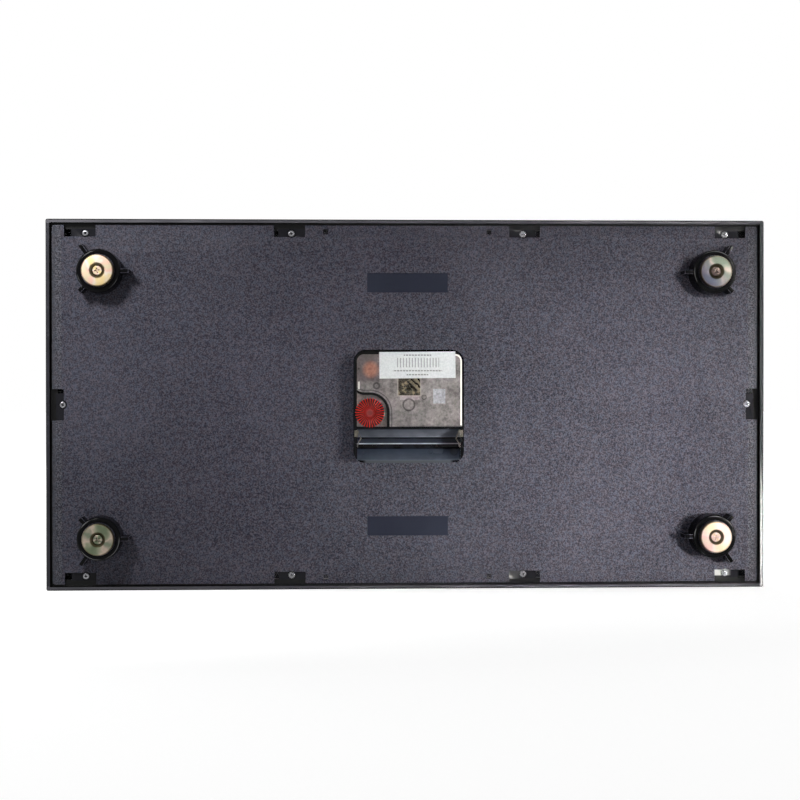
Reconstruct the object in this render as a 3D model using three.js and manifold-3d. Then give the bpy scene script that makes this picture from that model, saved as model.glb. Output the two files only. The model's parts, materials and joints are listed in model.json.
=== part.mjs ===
// One dial unit of a wide wall clock: black moulded frame, clear lens, white dial and three hands
// in front, and behind them a textured panel that carries a quartz movement and four magnets on
// posts. Two such units close back to back on a steel plate between them.
// Millimetres. +Z is up, the dial faces -Y and the magnets face +Y. The origin lies on the hand
// shaft, in the plane that the four magnet faces share.
import * as THREE from "three";
import { mergeVertices } from "three/addons/utils/BufferGeometryUtils.js";
import Module from "manifold-3d";

const wasm = await Module();
wasm.setup();

// Clearances
const seat = 0.3; // between two mouldings that rest on each other
const slip = 0.1; // between stacked or pressed metal pieces
const running = 0.15; // round a turning shaft, on the radius
const overrun = 2; // how far a cut runs past the face that it opens

// Facets of a round piece, by its size
const sides = { fine: 8, small: 10, medium: 14, large: 22 };
const cornerFacets = 2;

const frame = {
  width: 369,
  height: 189.6,
  corner: 1,
  wall: 2,
  rimAbovePanel: 2,
  bezel: 13,
  bezelThick: 2.5,
  bezelSlope: 1.5,
  edge: 0.5,
  ledgeReach: 3,
  ledgeThick: 2.2,
  bossWidth: 7,
  bossRadius: 2.5,
};

const lens = { thick: 2, clearOfHands: 1.5 };

const panel = {
  edgeGap: 0.9,
  corner: 1.5,
  fieldCorner: 0.8,
  border: 6,
  step: 0.4,
  thick: 2.5,
};

// Screw pockets are notches in the panel's border, each with a sunk tab that takes the screw.
const pocket = { length: 16, sink: 1, rimSlot: 1.9, counterbore: 2.35, counterboreDepth: 0.25 };
const cornerPocket = { inset: 14.2, screwShift: 2.7, endSlot: 3.5 };
const innerPocket = { alongShare: 1 / 3, screwShift: 0.9, endSlot: 2.2 };
const longEdgeScrewInset = 4.2; // from the panel's top or bottom edge to the screw
const sidePocket = { z: 0, screwZ: 0, endSlot: 2.2, screwInset: 5.3 };
const snapHole = { size: 2.5, fromPocket: 18.5, inset: 3.2 };

const panelScrew = { headRadius: 1.7, headHeight: 1.1, shankRadius: 1, length: 7 };
const headRoundShare = 0.4; // of a pan head's height

// Magnets stand at these distances from the frame's sides and from its top and bottom.
const magnet = { sideInset: 27.8, endInset: 27.1, radius: 8, thick: 5, proud: 4, edge: 0.35 };
magnet.sinkRadius = 3.8;
magnet.holeRadius = 2;
magnet.sinkDepth = 2.4;

const post = {
  height: 12.5,
  rimRadius: 11,
  baseRadius: 11.2,
  rimRound: 1.2,
  wall: 2.4,
  seatThick: 2.6,
  boreRadius: 1.1,
  bossRadius: 3,
};
// A post's fins point to the clock's middle, past its near long edge, and back from its far one.
const fin = { thick: 2.2, rootDepth: 2 };
const fins = [
  { reach: 15.2, turn: 0 },
  { reach: 16.3, turn: THREE.MathUtils.degToRad(125) },
  { reach: 14.2, turn: THREE.MathUtils.degToRad(-133) },
];

const magnetScrew = { headRadius: 2.5, headHeight: 1.5, shankRadius: 1, length: 9, headSink: 1.9 };

const dial = { thick: 1.2, underBezel: 1.5, hole: 4.3, corner: 1 };

// The movement's outline, measured from the hand shaft
const movement = {
  halfWidth: 28,
  above: 27.9,
  below: 29.8,
  corner: 6.2,
  cornerFacets: 3,
  thick: 13.6,
  wall: 1.7,
  rebate: 0.85,
  rebateDepth: 0.9,
  floor: 1.5,
  chamberBelow: 9.9,
  coverBelow: 11.1,
  pivotHoleDepth: 0.8,
};
const notch = { left: 8.7, right: 7, depth: 0.6, height: 3.4 };
const bushing = { radius: 3.9, boreRadius: 2.95, length: 7.6, holeGap: 0.25 };
const nut = { acrossFlats: 12, thick: 2 };
const washer = { radius: 6.5, thick: 0.5 };

const cover = { thick: 1.4, proud: 0.5, bevel: 0.7, bossRadius: 1.3, bossHeight: 1.2 };
cover.bossHole = 0.48;
cover.bossHoleDepth = 0.9;
// Low rings moulded on the cover's rear face
const coverRing = { height: 0.25, wall: 0.45, x: 16.4, z: 9.6 };
coverRing.radius = 1.6;
coverRing.shaftRadius = 3.1;
coverRing.pivotRadius = 1.2;
// The step in the cover that the setting knob sits in
const well = { radius: 9.1, depth: 2.2, wall: 1, floor: 0.8, topRise: 9.4 };

const knob = { x: 19.8, z: -4.05, radius: 7.4, rise: 1, shaftRadius: 1.5, clearOfFloor: 0.3 };
knob.ribCount = 24;
knob.ribDepth = 0.4;
knob.ribShare = 0.4; // of the pitch of the ribs

// The cell's bay. Its floor is at the top of the ridge that the cell lies on.
const bay = {
  halfLength: 26.3,
  top: 12.4,
  slopeBottom: 16.4,
  bottom: 28.2,
  floor: 1,
  slopeHeight: 5.4,
  bedDepth: 0.35,
  curveStart: 22,
  curveMiddle: 20.6,
  curveRadius: 7.6,
  curvePoints: 3,
  lipHeight: 7.4,
  lipHalfLength: 24,
  grooveDepth: 0.25,
  grooves: [{ low: -17.3, high: -16.4 }, { low: -22, high: -20.3 }],
  ridge: { low: -20.2, high: -19 },
};
// Round marks in the bay's lower half, and the short slot beside the middle one
const bayHoles = [
  { x: 23, z: -24.4, radius: 1.2 },
  { x: -11.5, z: -24.2, radius: 1.2 },
  { x: -23.7, z: -24.3, radius: 1.9 },
];
const baySlot = { left: -18, right: -12.8, low: -25.4, high: -22.9 };
const contact = {
  thick: 0.4,
  wallGap: 0.2,
  height: 6.2,
  bend: 1.8,
  top: 12.9,
  elbow: 17.2,
  foot: 20,
  bottom: 21.6,
  lugWidth: 1.5,
  lugLength: 3.4,
  lugSink: 0.7,
};

// Wheels. Each pair shares a centre distance, and its module follows from that and its teeth.
const teeth = {
  rotorPinion: 6,
  intermediate: 36,
  intermediatePinion: 6,
  seconds: 30,
  secondsPinion: 6,
  third: 48,
  thirdPinion: 6,
  centre: 45,
  minutePinion: 10,
  motion: 30,
  motionPinion: 8,
  hour: 32,
  knob: 20,
};
// A tooth's height above and below the pitch line, in modules, and its width, in pitches
const toothShares = { above: 0.75, below: 1.05, rootWidth: 0.56, tipWidth: 0.2 };

const shaftAxis = { x: 0, z: 0 };
const knobAxis = { x: knob.x, z: knob.z };
const rotorAxis = { x: 12.6, z: 9.3 };
const thirdAxis = { x: -7.7, z: 3.8 };
const intermediateSpan = { fromShaft: 8.6, fromRotor: 8 };
const motionSpan = { fromShaft: 9 };

const wheel = { thick: 0.8, arborRadius: 0.6, pivotRadius: 0.35, pivotHole: 0.47, hubRadius: 1.2 };
// Heights of the wheels above the case floor
const level = { motionWork: 0.3, step: 1.4, workThick: 1.1, centre: 3.2, third: 5.2, seconds: 6.7, last: 8 };
const pinionOver = 0.3; // a pinion runs this far past each face of its wheel

const hourTube = { radius: 2.7, boreRadius: 2.05 };
const minuteTube = { radius: 1.85, boreRadius: 0.85 };
const secondsArbor = { radius: 0.65 };

const rotor = { radius: 3, height: 3, above: 3.5 };
const stator = {
  thick: 1,
  above: 4.6,
  coreHalf: 1,
  legWidth: 2.2,
  armHalf: 2.2,
  armLift: 1,
  eyeRadius: 5,
  eyeHole: 3.6,
  outer: 25.9,
  inner: 2.1,
};
const coil = { left: 4.6, right: 23.4, z: 18.8, flange: 0.8, flangeHalf: 4.5, radius: 4.1 };
coil.tubeRadius = 2;
coil.coreGap = 0.2;
const statorPost = { radius: 0.9, leftX: 24.8, leftZ: 14.6, rightX: 3.2, rightZ: 13.6 };

const board = {
  thick: 0.8,
  above: 9.6,
  left: 3.2,
  right: 25.2,
  top: 12.9,
  low: 5.9,
  cornerX: 10,
  bottom: 8,
  postRadius: 1,
  postInsetShare: 0.14,
};
const chip = { radius: 2.6, height: 0.6, x: 0.4, z: 9.2 };
const crystal = { radius: 1, length: 6, x: 20, z: -2 };

const label = { width: 38.6, height: 13.4, thick: 0.12, x: -4.35, z: 20.1 };
label.tilt = THREE.MathUtils.degToRad(0.5);

const handThick = 0.5;
const handSpace = 1.1; // between one hand's front face and the next hand
const hubThick = 0.9;
const hourHand = { length: 46, tail: 10, width: 7, tipWidth: 4, hubRadius: 6 };
const minuteHand = { length: 70, tail: 12, width: 5.5, tipWidth: 3, hubRadius: 5 };
const secondHand = { length: 74, tail: 24, width: 1.6, tipWidth: 1, hubRadius: 4 };
const restTime = { hours: 10, minutes: 9, seconds: 35 };

// Places along Y, from the magnet faces to the front of the frame
const panelRear = -(magnet.proud + post.height);
const borderRear = panelRear - panel.step;
const panelFront = panelRear - panel.thick;
const rimRear = panelRear + frame.rimAbovePanel;
const ledgeRear = panelFront - seat;
const ledgeFront = ledgeRear - frame.ledgeThick;
const postRear = panelRear + post.height;
const tabRear = borderRear - pocket.sink;
const dialRear = panelFront - seat;
const dialFront = dialRear - dial.thick;
const washerRear = dialFront - slip;
const nutRear = washerRear - washer.thick - slip;
const caseFront = panelRear + seat;
const caseRear = caseFront + movement.thick;
const floorRear = caseFront + movement.floor;
const bushingFront = caseFront - bushing.length;
const coverRear = caseRear + cover.proud;
const coverFront = coverRear - cover.thick;
const wellFloorRear = coverRear - well.depth;
const wellFloorFront = wellFloorRear - well.floor;
const hourHandRear = bushingFront - hubThick;
const minuteHandRear = hourHandRear - handThick - handSpace;
const secondHandRear = minuteHandRear - handThick - handSpace;
const handsFront = secondHandRear - handThick - hubThick;
const lensRear = handsFront - lens.clearOfHands;
const lensFront = lensRear - lens.thick;
const bezelRear = lensFront - seat;
const frameFront = bezelRear - frame.bezelThick;

// Half sizes in the plane of the dial
const half = { x: frame.width / 2, z: frame.height / 2 };
const cavity = { x: half.x - frame.wall, z: half.z - frame.wall };
const panelHalf = { x: cavity.x - panel.edgeGap, z: cavity.z - panel.edgeGap };
const fieldHalf = { x: panelHalf.x - panel.border, z: panelHalf.z - panel.border };
const windowHalf = { x: half.x - frame.bezel, z: half.z - frame.bezel };
const magnetAt = { x: half.x - magnet.sideInset, z: half.z - magnet.endInset };
cornerPocket.x = panelHalf.x - cornerPocket.inset;
innerPocket.x = panelHalf.x * innerPocket.alongShare;
for (const row of [cornerPocket, innerPocket]) row.screwX = row.x - row.screwShift;
snapHole.x = innerPocket.x - snapHole.fromPocket;
const dialHalf = { x: windowHalf.x + dial.underBezel, z: windowHalf.z + dial.underBezel };

const materials = {
  frame: new THREE.MeshStandardMaterial({ color: 0x16161a, roughness: 0.35 }),
  panel: new THREE.MeshStandardMaterial({ color: 0x3a3a42, roughness: 0.6 }),
  lens: new THREE.MeshStandardMaterial({ color: 0xf4f8fa, roughness: 0.05, transparent: true, opacity: 0.2 }),
  dial: new THREE.MeshStandardMaterial({ color: 0xf5f4ef, roughness: 0.5 }),
  caseBlack: new THREE.MeshStandardMaterial({ color: 0x101216, roughness: 0.2 }),
  smoke: new THREE.MeshStandardMaterial({ color: 0x8d8684, roughness: 0.1, transparent: true, opacity: 0.4 }),
  red: new THREE.MeshStandardMaterial({ color: 0xb01c10, roughness: 0.4 }),
  zinc: new THREE.MeshStandardMaterial({ color: 0xd8ceb0, roughness: 0.25, metalness: 0.9 }),
  steel: new THREE.MeshStandardMaterial({ color: 0xb8b8ba, roughness: 0.3, metalness: 1 }),
  brass: new THREE.MeshStandardMaterial({ color: 0xc79a3e, roughness: 0.3, metalness: 1 }),
  copper: new THREE.MeshStandardMaterial({ color: 0xc4703c, roughness: 0.35, metalness: 0.8 }),
  nylon: new THREE.MeshStandardMaterial({ color: 0xe8e4d6, roughness: 0.5 }),
  board: new THREE.MeshStandardMaterial({ color: 0x6a4a24, roughness: 0.6 }),
  epoxy: new THREE.MeshStandardMaterial({ color: 0x0c0c0d, roughness: 0.3 }),
  paper: new THREE.MeshStandardMaterial({ color: 0xf7f7f5, roughness: 0.7 }),
  handBlack: new THREE.MeshStandardMaterial({ color: 0x0d0d0f, roughness: 0.4 }),
};

// A three.js geometry as a solid that can be joined and cut
function solid(geometry) {
  geometry.deleteAttribute("normal");
  geometry.deleteAttribute("uv");
  const merged = mergeVertices(geometry);
  const vertProperties = new Float32Array(merged.attributes.position.array);
  const triVerts = new Uint32Array(merged.index.array);
  return new wasm.Manifold(new wasm.Mesh({ numProp: 3, vertProperties, triVerts }));
}

function mesh(name, shape, material) {
  const made = shape.getMesh();
  const geometry = new THREE.BufferGeometry();
  geometry.setAttribute("position", new THREE.BufferAttribute(made.vertProperties, 3));
  geometry.setIndex(new THREE.BufferAttribute(made.triVerts, 1));
  geometry.computeVertexNormals();
  const result = new THREE.Mesh(geometry, material);
  result.name = name;
  return result;
}

function box([x0, x1], [y0, y1], [z0, z1]) {
  const geometry = new THREE.BoxGeometry(x1 - x0, y1 - y0, z1 - z0);
  return solid(geometry.translate((x0 + x1) / 2, (y0 + y1) / 2, (z0 + z1) / 2));
}

// A round bar along Y, with its own radius at each end
function rod(radius, [y0, y1], { x = 0, z = 0, rearRadius = radius, facets = sides.medium } = {}) {
  const geometry = new THREE.CylinderGeometry(rearRadius, radius, y1 - y0, facets);
  return solid(geometry.translate(x, (y0 + y1) / 2, z));
}

function turned(profile, facets) {
  return solid(new THREE.LatheGeometry(profile.map(([r, y]) => new THREE.Vector2(r, y)), facets));
}

// A flat outline in X and Z, given its thickness along Y
function slab(shape, [y0, y1], curveSegments = cornerFacets) {
  const geometry = new THREE.ExtrudeGeometry(shape, { depth: y1 - y0, bevelEnabled: false, curveSegments });
  return solid(geometry.rotateX(Math.PI / 2).translate(0, y1, 0));
}

// A slab whose edges stand out by the bevel between its ends, where it has the outline given
function bevelled(shape, [y0, y1], bevel, curveSegments = cornerFacets) {
  const depth = y1 - y0 - 2 * bevel;
  const edge = { bevelThickness: bevel, bevelSize: bevel, bevelSegments: 1 };
  const geometry = new THREE.ExtrudeGeometry(shape, { depth, curveSegments, ...edge });
  return solid(geometry.rotateX(Math.PI / 2).translate(0, y1 - bevel, 0));
}

function bevelledCentred(halfSize, corner, span, bevel) {
  return bevelled(centred({ x: halfSize.x - bevel, z: halfSize.z - bevel }, corner - bevel), span, bevel);
}

function outline(points) {
  return new THREE.Shape(points.map(([x, z]) => new THREE.Vector2(x, z)));
}

function roundedRectangle([x0, x1], [z0, z1], radius) {
  const shape = new THREE.Shape();
  shape.moveTo(x0 + radius, z0);
  shape.lineTo(x1 - radius, z0);
  shape.absarc(x1 - radius, z0 + radius, radius, -Math.PI / 2, 0);
  shape.absarc(x1 - radius, z1 - radius, radius, 0, Math.PI / 2);
  shape.absarc(x0 + radius, z1 - radius, radius, Math.PI / 2, Math.PI);
  shape.absarc(x0 + radius, z0 + radius, radius, Math.PI, (3 * Math.PI) / 2);
  shape.closePath();
  return shape;
}

// A rectangle that is rounded at its two upper corners only
function archedRectangle([x0, x1], [z0, z1], radius) {
  const shape = new THREE.Shape();
  shape.moveTo(x0, z0);
  shape.lineTo(x1, z0);
  shape.absarc(x1 - radius, z1 - radius, radius, 0, Math.PI / 2);
  shape.absarc(x0 + radius, z1 - radius, radius, Math.PI / 2, Math.PI);
  shape.closePath();
  return shape;
}

function centred(halfSize, radius) {
  return roundedRectangle([-halfSize.x, halfSize.x], [-halfSize.z, halfSize.z], radius);
}

const joined = (...pieces) => pieces.reduce((whole, piece) => whole.add(piece));
const cut = (whole, ...pieces) => pieces.reduce((rest, piece) => rest.subtract(piece), whole);

// The third corner of a triangle on a and b, at its distance from each, on the side named by turn
function meetingPoint(a, fromA, b, fromB, turn) {
  const dx = b.x - a.x;
  const dz = b.z - a.z;
  const span = Math.hypot(dx, dz);
  const along = (fromA ** 2 - fromB ** 2 + span ** 2) / (2 * span);
  const across = turn * Math.sqrt(Math.max(fromA ** 2 - along ** 2, 0));
  return {
    x: a.x + (along * dx - across * dz) / span,
    z: a.z + (along * dz + across * dx) / span,
  };
}

const distance = (a, b) => Math.hypot(b.x - a.x, b.z - a.z);
const moduleOf = (span, teethA, teethB) => (2 * span) / (teethA + teethB);

const intermediateAxis = meetingPoint(
  shaftAxis, intermediateSpan.fromShaft, rotorAxis, intermediateSpan.fromRotor, 1,
);
const knobToShaftTeeth = (teeth.motion + teeth.knob) / (teeth.motion + teeth.minutePinion);
const motionToKnob = motionSpan.fromShaft * knobToShaftTeeth;
const motionAxis = meetingPoint(shaftAxis, motionSpan.fromShaft, knobAxis, motionToKnob, 1);

const modules = {
  rotor: moduleOf(intermediateSpan.fromRotor, teeth.rotorPinion, teeth.intermediate),
  seconds: moduleOf(intermediateSpan.fromShaft, teeth.intermediatePinion, teeth.seconds),
  third: moduleOf(distance(shaftAxis, thirdAxis), teeth.secondsPinion, teeth.third),
  centre: moduleOf(distance(shaftAxis, thirdAxis), teeth.thirdPinion, teeth.centre),
  motion: moduleOf(motionSpan.fromShaft, teeth.minutePinion, teeth.motion),
  hour: moduleOf(motionSpan.fromShaft, teeth.motionPinion, teeth.hour),
};

// A gear's outline: one tooth is centred on the angle phase, measured from +X towards +Z
function gearOutline(count, module, phase) {
  const pitchRadius = (count * module) / 2;
  const root = pitchRadius - toothShares.below * module;
  const tip = pitchRadius + toothShares.above * module;
  const points = [];
  for (let i = 0; i < count; i++) {
    const middle = phase + (2 * Math.PI * i) / count;
    const corner = (radius, share) => {
      const angle = middle + (share * Math.PI) / count;
      points.push([radius * Math.cos(angle), radius * Math.sin(angle)]);
    };
    corner(root, -toothShares.rootWidth);
    corner(tip, -toothShares.tipWidth);
    corner(tip, toothShares.tipWidth);
    corner(root, toothShares.rootWidth);
  }
  return outline(points);
}

function gear(count, module, phase, span) {
  return slab(gearOutline(count, module, phase), span);
}

// The phase that puts a gap of the driven gear where the driver's tooth is
function matingPhase(driverAxis, driverCount, driverPhase, drivenAxis, drivenCount) {
  const direction = Math.atan2(drivenAxis.z - driverAxis.z, drivenAxis.x - driverAxis.x);
  const pastTooth = ((direction - driverPhase) * driverCount) / (2 * Math.PI);
  return direction + Math.PI - ((0.5 - pastTooth) * 2 * Math.PI) / drivenCount;
}

// Heights above the case floor as places along Y
const above = (height) => floorRear + height;
const workLevel = [above(level.motionWork), above(level.motionWork + level.workThick)];
const knobLevel = workLevel.map((y) => y + level.step);
const centreLevel = [above(level.centre), above(level.centre + wheel.thick)];
const thirdLevel = [above(level.third), above(level.third + wheel.thick)];
const secondsLevel = [above(level.seconds), above(level.seconds + wheel.thick)];
const lastLevel = [above(level.last), above(level.last + wheel.thick)];
const widened = ([y0, y1]) => [y0 - pinionOver, y1 + pinionOver];
const frontPivot = floorRear - movement.pivotHoleDepth + slip;
const rearPivot = coverFront - cover.bossHeight + cover.bossHoleDepth - slip;
const bossFront = coverFront - cover.bossHeight;

// The pockets along the two long edges, or along the two short sides. In each row, side tells
// which edge of the pair it is on and slotEnd which of its ends is open.
function pocketsOf(edge) {
  if (edge === "side") {
    const row = { along: sidePocket.z, screw: sidePocket.screwZ, slotEnd: 1, endSlot: sidePocket.endSlot };
    return [1, -1].map((side) => ({ side, ...row }));
  }
  const rows = [];
  for (const side of [1, -1]) {
    for (const { x, screwX, endSlot } of [cornerPocket, innerPocket]) {
      for (const slotEnd of [1, -1]) {
        rows.push({ side, along: slotEnd * x, screw: slotEnd * screwX, slotEnd, endSlot });
      }
    }
  }
  return rows;
}

// A box given along an edge and inwards from it, on the side of the clock that the row names
function edgeBox(edge, row, [along0, along1], ys, [out0, out1]) {
  const across = [row.side * out0, row.side * out1].sort((a, b) => a - b);
  return edge === "long" ? box([along0, along1], ys, across) : box(across, ys, [along0, along1]);
}

const panelEdge = { long: panelHalf.z, side: panelHalf.x };
const wallEdge = { long: cavity.z, side: cavity.x };
const screwEdge = { long: panelHalf.z - longEdgeScrewInset, side: panelHalf.x - sidePocket.screwInset };
const edges = ["long", "side"];

function screwPlace(edge, row) {
  const out = row.side * screwEdge[edge];
  return edge === "long" ? { x: row.screw, z: out } : { x: out, z: row.screw };
}

// Front frame: a deep tray without a floor, with the bezel in front, the ledge that the panel
// rests on, and a boss under each of the panel's screws.
function frontFrame() {
  const outer = bevelledCentred(half, frame.corner, [frameFront, rimRear], frame.edge);
  const inside = slab(centred(cavity, frame.corner - frame.wall / 2), [bezelRear, rimRear + overrun]);
  const windowCut = slab(centred(windowHalf, frame.corner), [frameFront - overrun, bezelRear + overrun]);
  // The slope of the window's edge is cut by the near end of a bevelled slab that lies in front
  const slopeHalf = { x: windowHalf.x + frame.bezelSlope, z: windowHalf.z + frame.bezelSlope };
  const slopeSpan = [frameFront - 2 * frame.bezelSlope, frameFront + frame.bezelSlope];
  const slope = bevelledCentred(slopeHalf, frame.corner + frame.bezelSlope, slopeSpan, frame.bezelSlope);
  const ledgeOuter = { x: half.x - frame.wall / 2, z: half.z - frame.wall / 2 };
  const ledgeHole = { x: cavity.x - frame.ledgeReach, z: cavity.z - frame.ledgeReach };
  const ledge = cut(
    slab(centred(ledgeOuter, frame.corner / 2), [ledgeFront, ledgeRear]),
    slab(centred(ledgeHole, frame.corner), [ledgeFront - overrun, ledgeRear + overrun]),
  );
  let whole = joined(cut(outer, inside, windowCut, slope), ledge);
  for (const edge of edges) {
    for (const row of pocketsOf(edge)) {
      const along = [row.screw - frame.bossWidth / 2, row.screw + frame.bossWidth / 2];
      const across = [screwEdge[edge] - frame.bossRadius, wallEdge[edge] + frame.wall / 2];
      whole = whole.add(edgeBox(edge, row, along, [lensRear + seat, ledgeRear], across));
      const place = screwPlace(edge, row);
      const depth = [ledgeRear - panelScrew.length, ledgeRear + overrun];
      whole = whole.subtract(rod(panelScrew.shankRadius + slip, depth, { ...place, facets: sides.fine }));
    }
  }
  return mesh("front_frame", whole, materials.frame);
}

function lensSheet() {
  const size = { x: cavity.x - seat, z: cavity.z - seat };
  return mesh("lens", slab(centred(size, frame.corner), [lensFront, lensRear]), materials.lens);
}

function dialPlate() {
  const plate = slab(centred(dialHalf, dial.corner), [dialFront, dialRear]);
  const hole = rod(dial.hole, [dialFront - overrun, dialRear + overrun]);
  return mesh("dial_plate", plate.subtract(hole), materials.dial);
}

// One hollow post with its fins, centred on the axis and standing on the panel. The corner that
// it is for lies towards the signs of x and z.
function magnetPost({ x, z }) {
  const rim = postRear - post.rimRound;
  const root = panelFront + panel.thick / 2;
  const facets = sides.large;
  const body = joined(
    rod(post.baseRadius, [root, rim], { rearRadius: post.rimRadius, facets }),
    rod(post.rimRadius, [rim, postRear], { rearRadius: post.rimRadius - post.rimRound, facets }),
  );
  const foot = panelRear - panel.step;
  const plates = fins.map(({ reach, turn }) => {
    const length = reach - post.rimRadius + fin.rootDepth;
    const plate = new THREE.BoxGeometry(length, rim - foot, fin.thick);
    plate.translate(reach - length / 2, (rim + foot) / 2, 0);
    const direction = Math.atan2(Math.sign(z) * Math.sin(turn), -Math.sign(x) * Math.cos(turn));
    return solid(plate.rotateY(-direction));
  });
  return joined(body, ...plates);
}

// What is hollow in a post: the magnet's seat, the screw's bore and the core from the front
function magnetPostCuts() {
  const seatFloor = postRear - (magnet.thick - magnet.proud);
  const coreRear = seatFloor - post.seatThick;
  const core = cut(
    rod(post.rimRadius - post.wall, [panelFront - overrun, coreRear], { facets: sides.medium }),
    rod(post.bossRadius, [panelFront, coreRear + overrun], { facets: sides.small }),
  );
  return joined(
    rod(magnet.radius + seat, [seatFloor, postRear + overrun], { facets: sides.large }),
    rod(post.boreRadius, [seatFloor - magnetScrew.length, seatFloor + overrun], { facets: sides.fine }),
    core,
  );
}

const corners = [
  { x: magnetAt.x, z: magnetAt.z },
  { x: -magnetAt.x, z: magnetAt.z },
  { x: magnetAt.x, z: -magnetAt.z },
  { x: -magnetAt.x, z: -magnetAt.z },
];

// Back panel: field, lower border with the screw pockets, four posts and the shaft hole
function backPanel() {
  let whole = joined(
    slab(centred(panelHalf, panel.corner), [panelFront, borderRear]),
    slab(centred(fieldHalf, panel.fieldCorner), [panelFront, panelRear]),
  );
  for (const edge of edges) {
    for (const row of pocketsOf(edge)) {
      const ends = [row.along - pocket.length / 2, row.along + pocket.length / 2];
      const inner = panelEdge[edge] - panel.border;
      const past = panelEdge[edge] + overrun;
      whole = whole.subtract(edgeBox(edge, row, ends, [tabRear, panelRear + overrun], [inner, past]));
      const slot = [panelEdge[edge] - pocket.rimSlot, past];
      whole = whole.subtract(edgeBox(edge, row, ends, [panelFront - overrun, panelRear], slot));
      const endSlot = row.slotEnd > 0 ? [ends[1] - row.endSlot, ends[1]] : [ends[0], ends[0] + row.endSlot];
      whole = whole.subtract(edgeBox(edge, row, endSlot, [panelFront - overrun, panelRear], [inner, past]));
      const place = screwPlace(edge, row);
      const sunk = [tabRear - pocket.counterboreDepth, panelRear + overrun];
      whole = whole.subtract(rod(pocket.counterbore, sunk, { ...place, facets: sides.small }));
      const through = [panelFront - overrun, panelRear];
      const bore = rod(panelScrew.shankRadius + running, through, { ...place, facets: sides.fine });
      whole = whole.subtract(bore);
    }
  }
  for (const x of [-snapHole.x, snapHole.x]) {
    for (const z of [panelHalf.z - snapHole.inset, snapHole.inset - panelHalf.z]) {
      const reach = snapHole.size / 2;
      const through = [panelFront - overrun, panelRear + overrun];
      whole = whole.subtract(box([x - reach, x + reach], through, [z - reach, z + reach]));
    }
  }
  for (const corner of corners) {
    const place = [corner.x, 0, corner.z];
    whole = whole.add(magnetPost(corner).translate(place)).subtract(magnetPostCuts().translate(place));
  }
  whole = whole.subtract(rod(bushing.radius + bushing.holeGap, [panelFront - overrun, panelRear + overrun]));
  return mesh("back_panel", whole, materials.panel);
}

// Pan-head screw, its head's rear face on y = 0 of its own frame
function panHeadScrew(name, size, material) {
  const round = size.headHeight * headRoundShare;
  const shape = turned([
    [0, -size.length],
    [size.shankRadius, size.shankRadius - size.length],
    [size.shankRadius, -size.headHeight],
    [size.headRadius, -size.headHeight],
    [size.headRadius, -round],
    [size.headRadius - round, 0],
    [0, 0],
  ], sides.fine);
  return mesh(name, shape, material);
}

function panelScrews() {
  const rows = edges.flatMap((edge) => pocketsOf(edge).map((row) => screwPlace(edge, row)));
  return rows.map((place, i) => {
    const screw = panHeadScrew(`panel_screw_${i + 1}`, panelScrew, materials.steel);
    const headRear = tabRear - pocket.counterboreDepth + slip + panelScrew.headHeight;
    screw.position.set(place.x, headRear, place.z);
    return screw;
  });
}

// Countersunk ring magnets and the screws that hold them, on the axes of the posts
function magnets() {
  const back = -magnet.thick + slip;
  const shape = turned([
    [magnet.holeRadius, back],
    [magnet.radius, back],
    [magnet.radius, -magnet.edge],
    [magnet.radius - magnet.edge, 0],
    [magnet.sinkRadius, 0],
    [magnet.holeRadius, -magnet.sinkDepth],
    [magnet.holeRadius, back],
  ], sides.large);
  return corners.map(({ x, z }, i) => {
    const piece = mesh(`magnet_${i + 1}`, shape, materials.zinc);
    piece.position.set(x, 0, z);
    return piece;
  });
}

function magnetScrews() {
  const { headRadius, headHeight, headSink, shankRadius, length } = magnetScrew;
  const shape = turned([
    [0, -length],
    [shankRadius, shankRadius - length],
    [shankRadius, -headHeight],
    [headRadius - slip, -slip],
    [headRadius - slip, 0],
    [0, 0],
  ], sides.small);
  return corners.map(({ x, z }, i) => {
    const piece = mesh(`magnet_screw_${i + 1}`, shape, materials.zinc);
    piece.position.set(x, -headSink + headHeight / 2, z);
    return piece;
  });
}

// Movement case: one moulding with the wheel chamber, the battery bay and the threaded bushing
function movementCase() {
  const { halfWidth, above: top, below, corner, wall, cornerFacets: facets } = movement;
  const outer = roundedRectangle([-halfWidth, halfWidth], [-below, top], corner);
  const body = slab(outer, [caseFront, caseRear], facets);
  const inner = halfWidth - wall;
  const openTo = caseRear + overrun;
  const chamberRows = [-movement.chamberBelow, top - wall];
  const chamberOutline = roundedRectangle([-inner, inner], chamberRows, corner - wall);
  const chamber = slab(chamberOutline, [floorRear, openTo], facets);
  const rim = halfWidth - movement.rebate;
  const rebateRows = [-movement.coverBelow - slip, top - movement.rebate];
  const rebateOutline = archedRectangle([-rim, rim], rebateRows, corner - movement.rebate);
  const rebate = slab(rebateOutline, [coverFront - slip, openTo], facets);
  const wellCut = slab(
    wellOutline(well.wall + slip, halfWidth + overrun, bay.top + slip), [wellFloorFront - slip, openTo],
  );
  const notchRows = [caseRear - notch.height, openTo];
  const tabNotch = box([-notch.right, notch.left], notchRows, [top - notch.depth, top + overrun]);
  let whole = joined(cut(body, chamber, rebate, wellCut, tabNotch, ...bayCuts()), casePosts());
  whole = whole.add(rod(bushing.radius, [bushingFront, floorRear], { facets: sides.medium }));
  whole = whole.subtract(rod(bushing.boreRadius, [bushingFront - overrun, floorRear + overrun]));
  for (const { x, z } of [intermediateAxis, thirdAxis, motionAxis, rotorAxis]) {
    const hole = [floorRear - movement.pivotHoleDepth, floorRear + overrun];
    whole = whole.subtract(rod(wheel.pivotHole, hole, { x, z, facets: sides.fine }));
  }
  const knobHole = [floorRear - movement.pivotHoleDepth, floorRear + overrun];
  whole = whole.subtract(rod(wheel.arborRadius + running, knobHole, { ...knobAxis, facets: sides.fine }));
  return mesh("movement_case", whole, materials.caseBlack);
}

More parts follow.
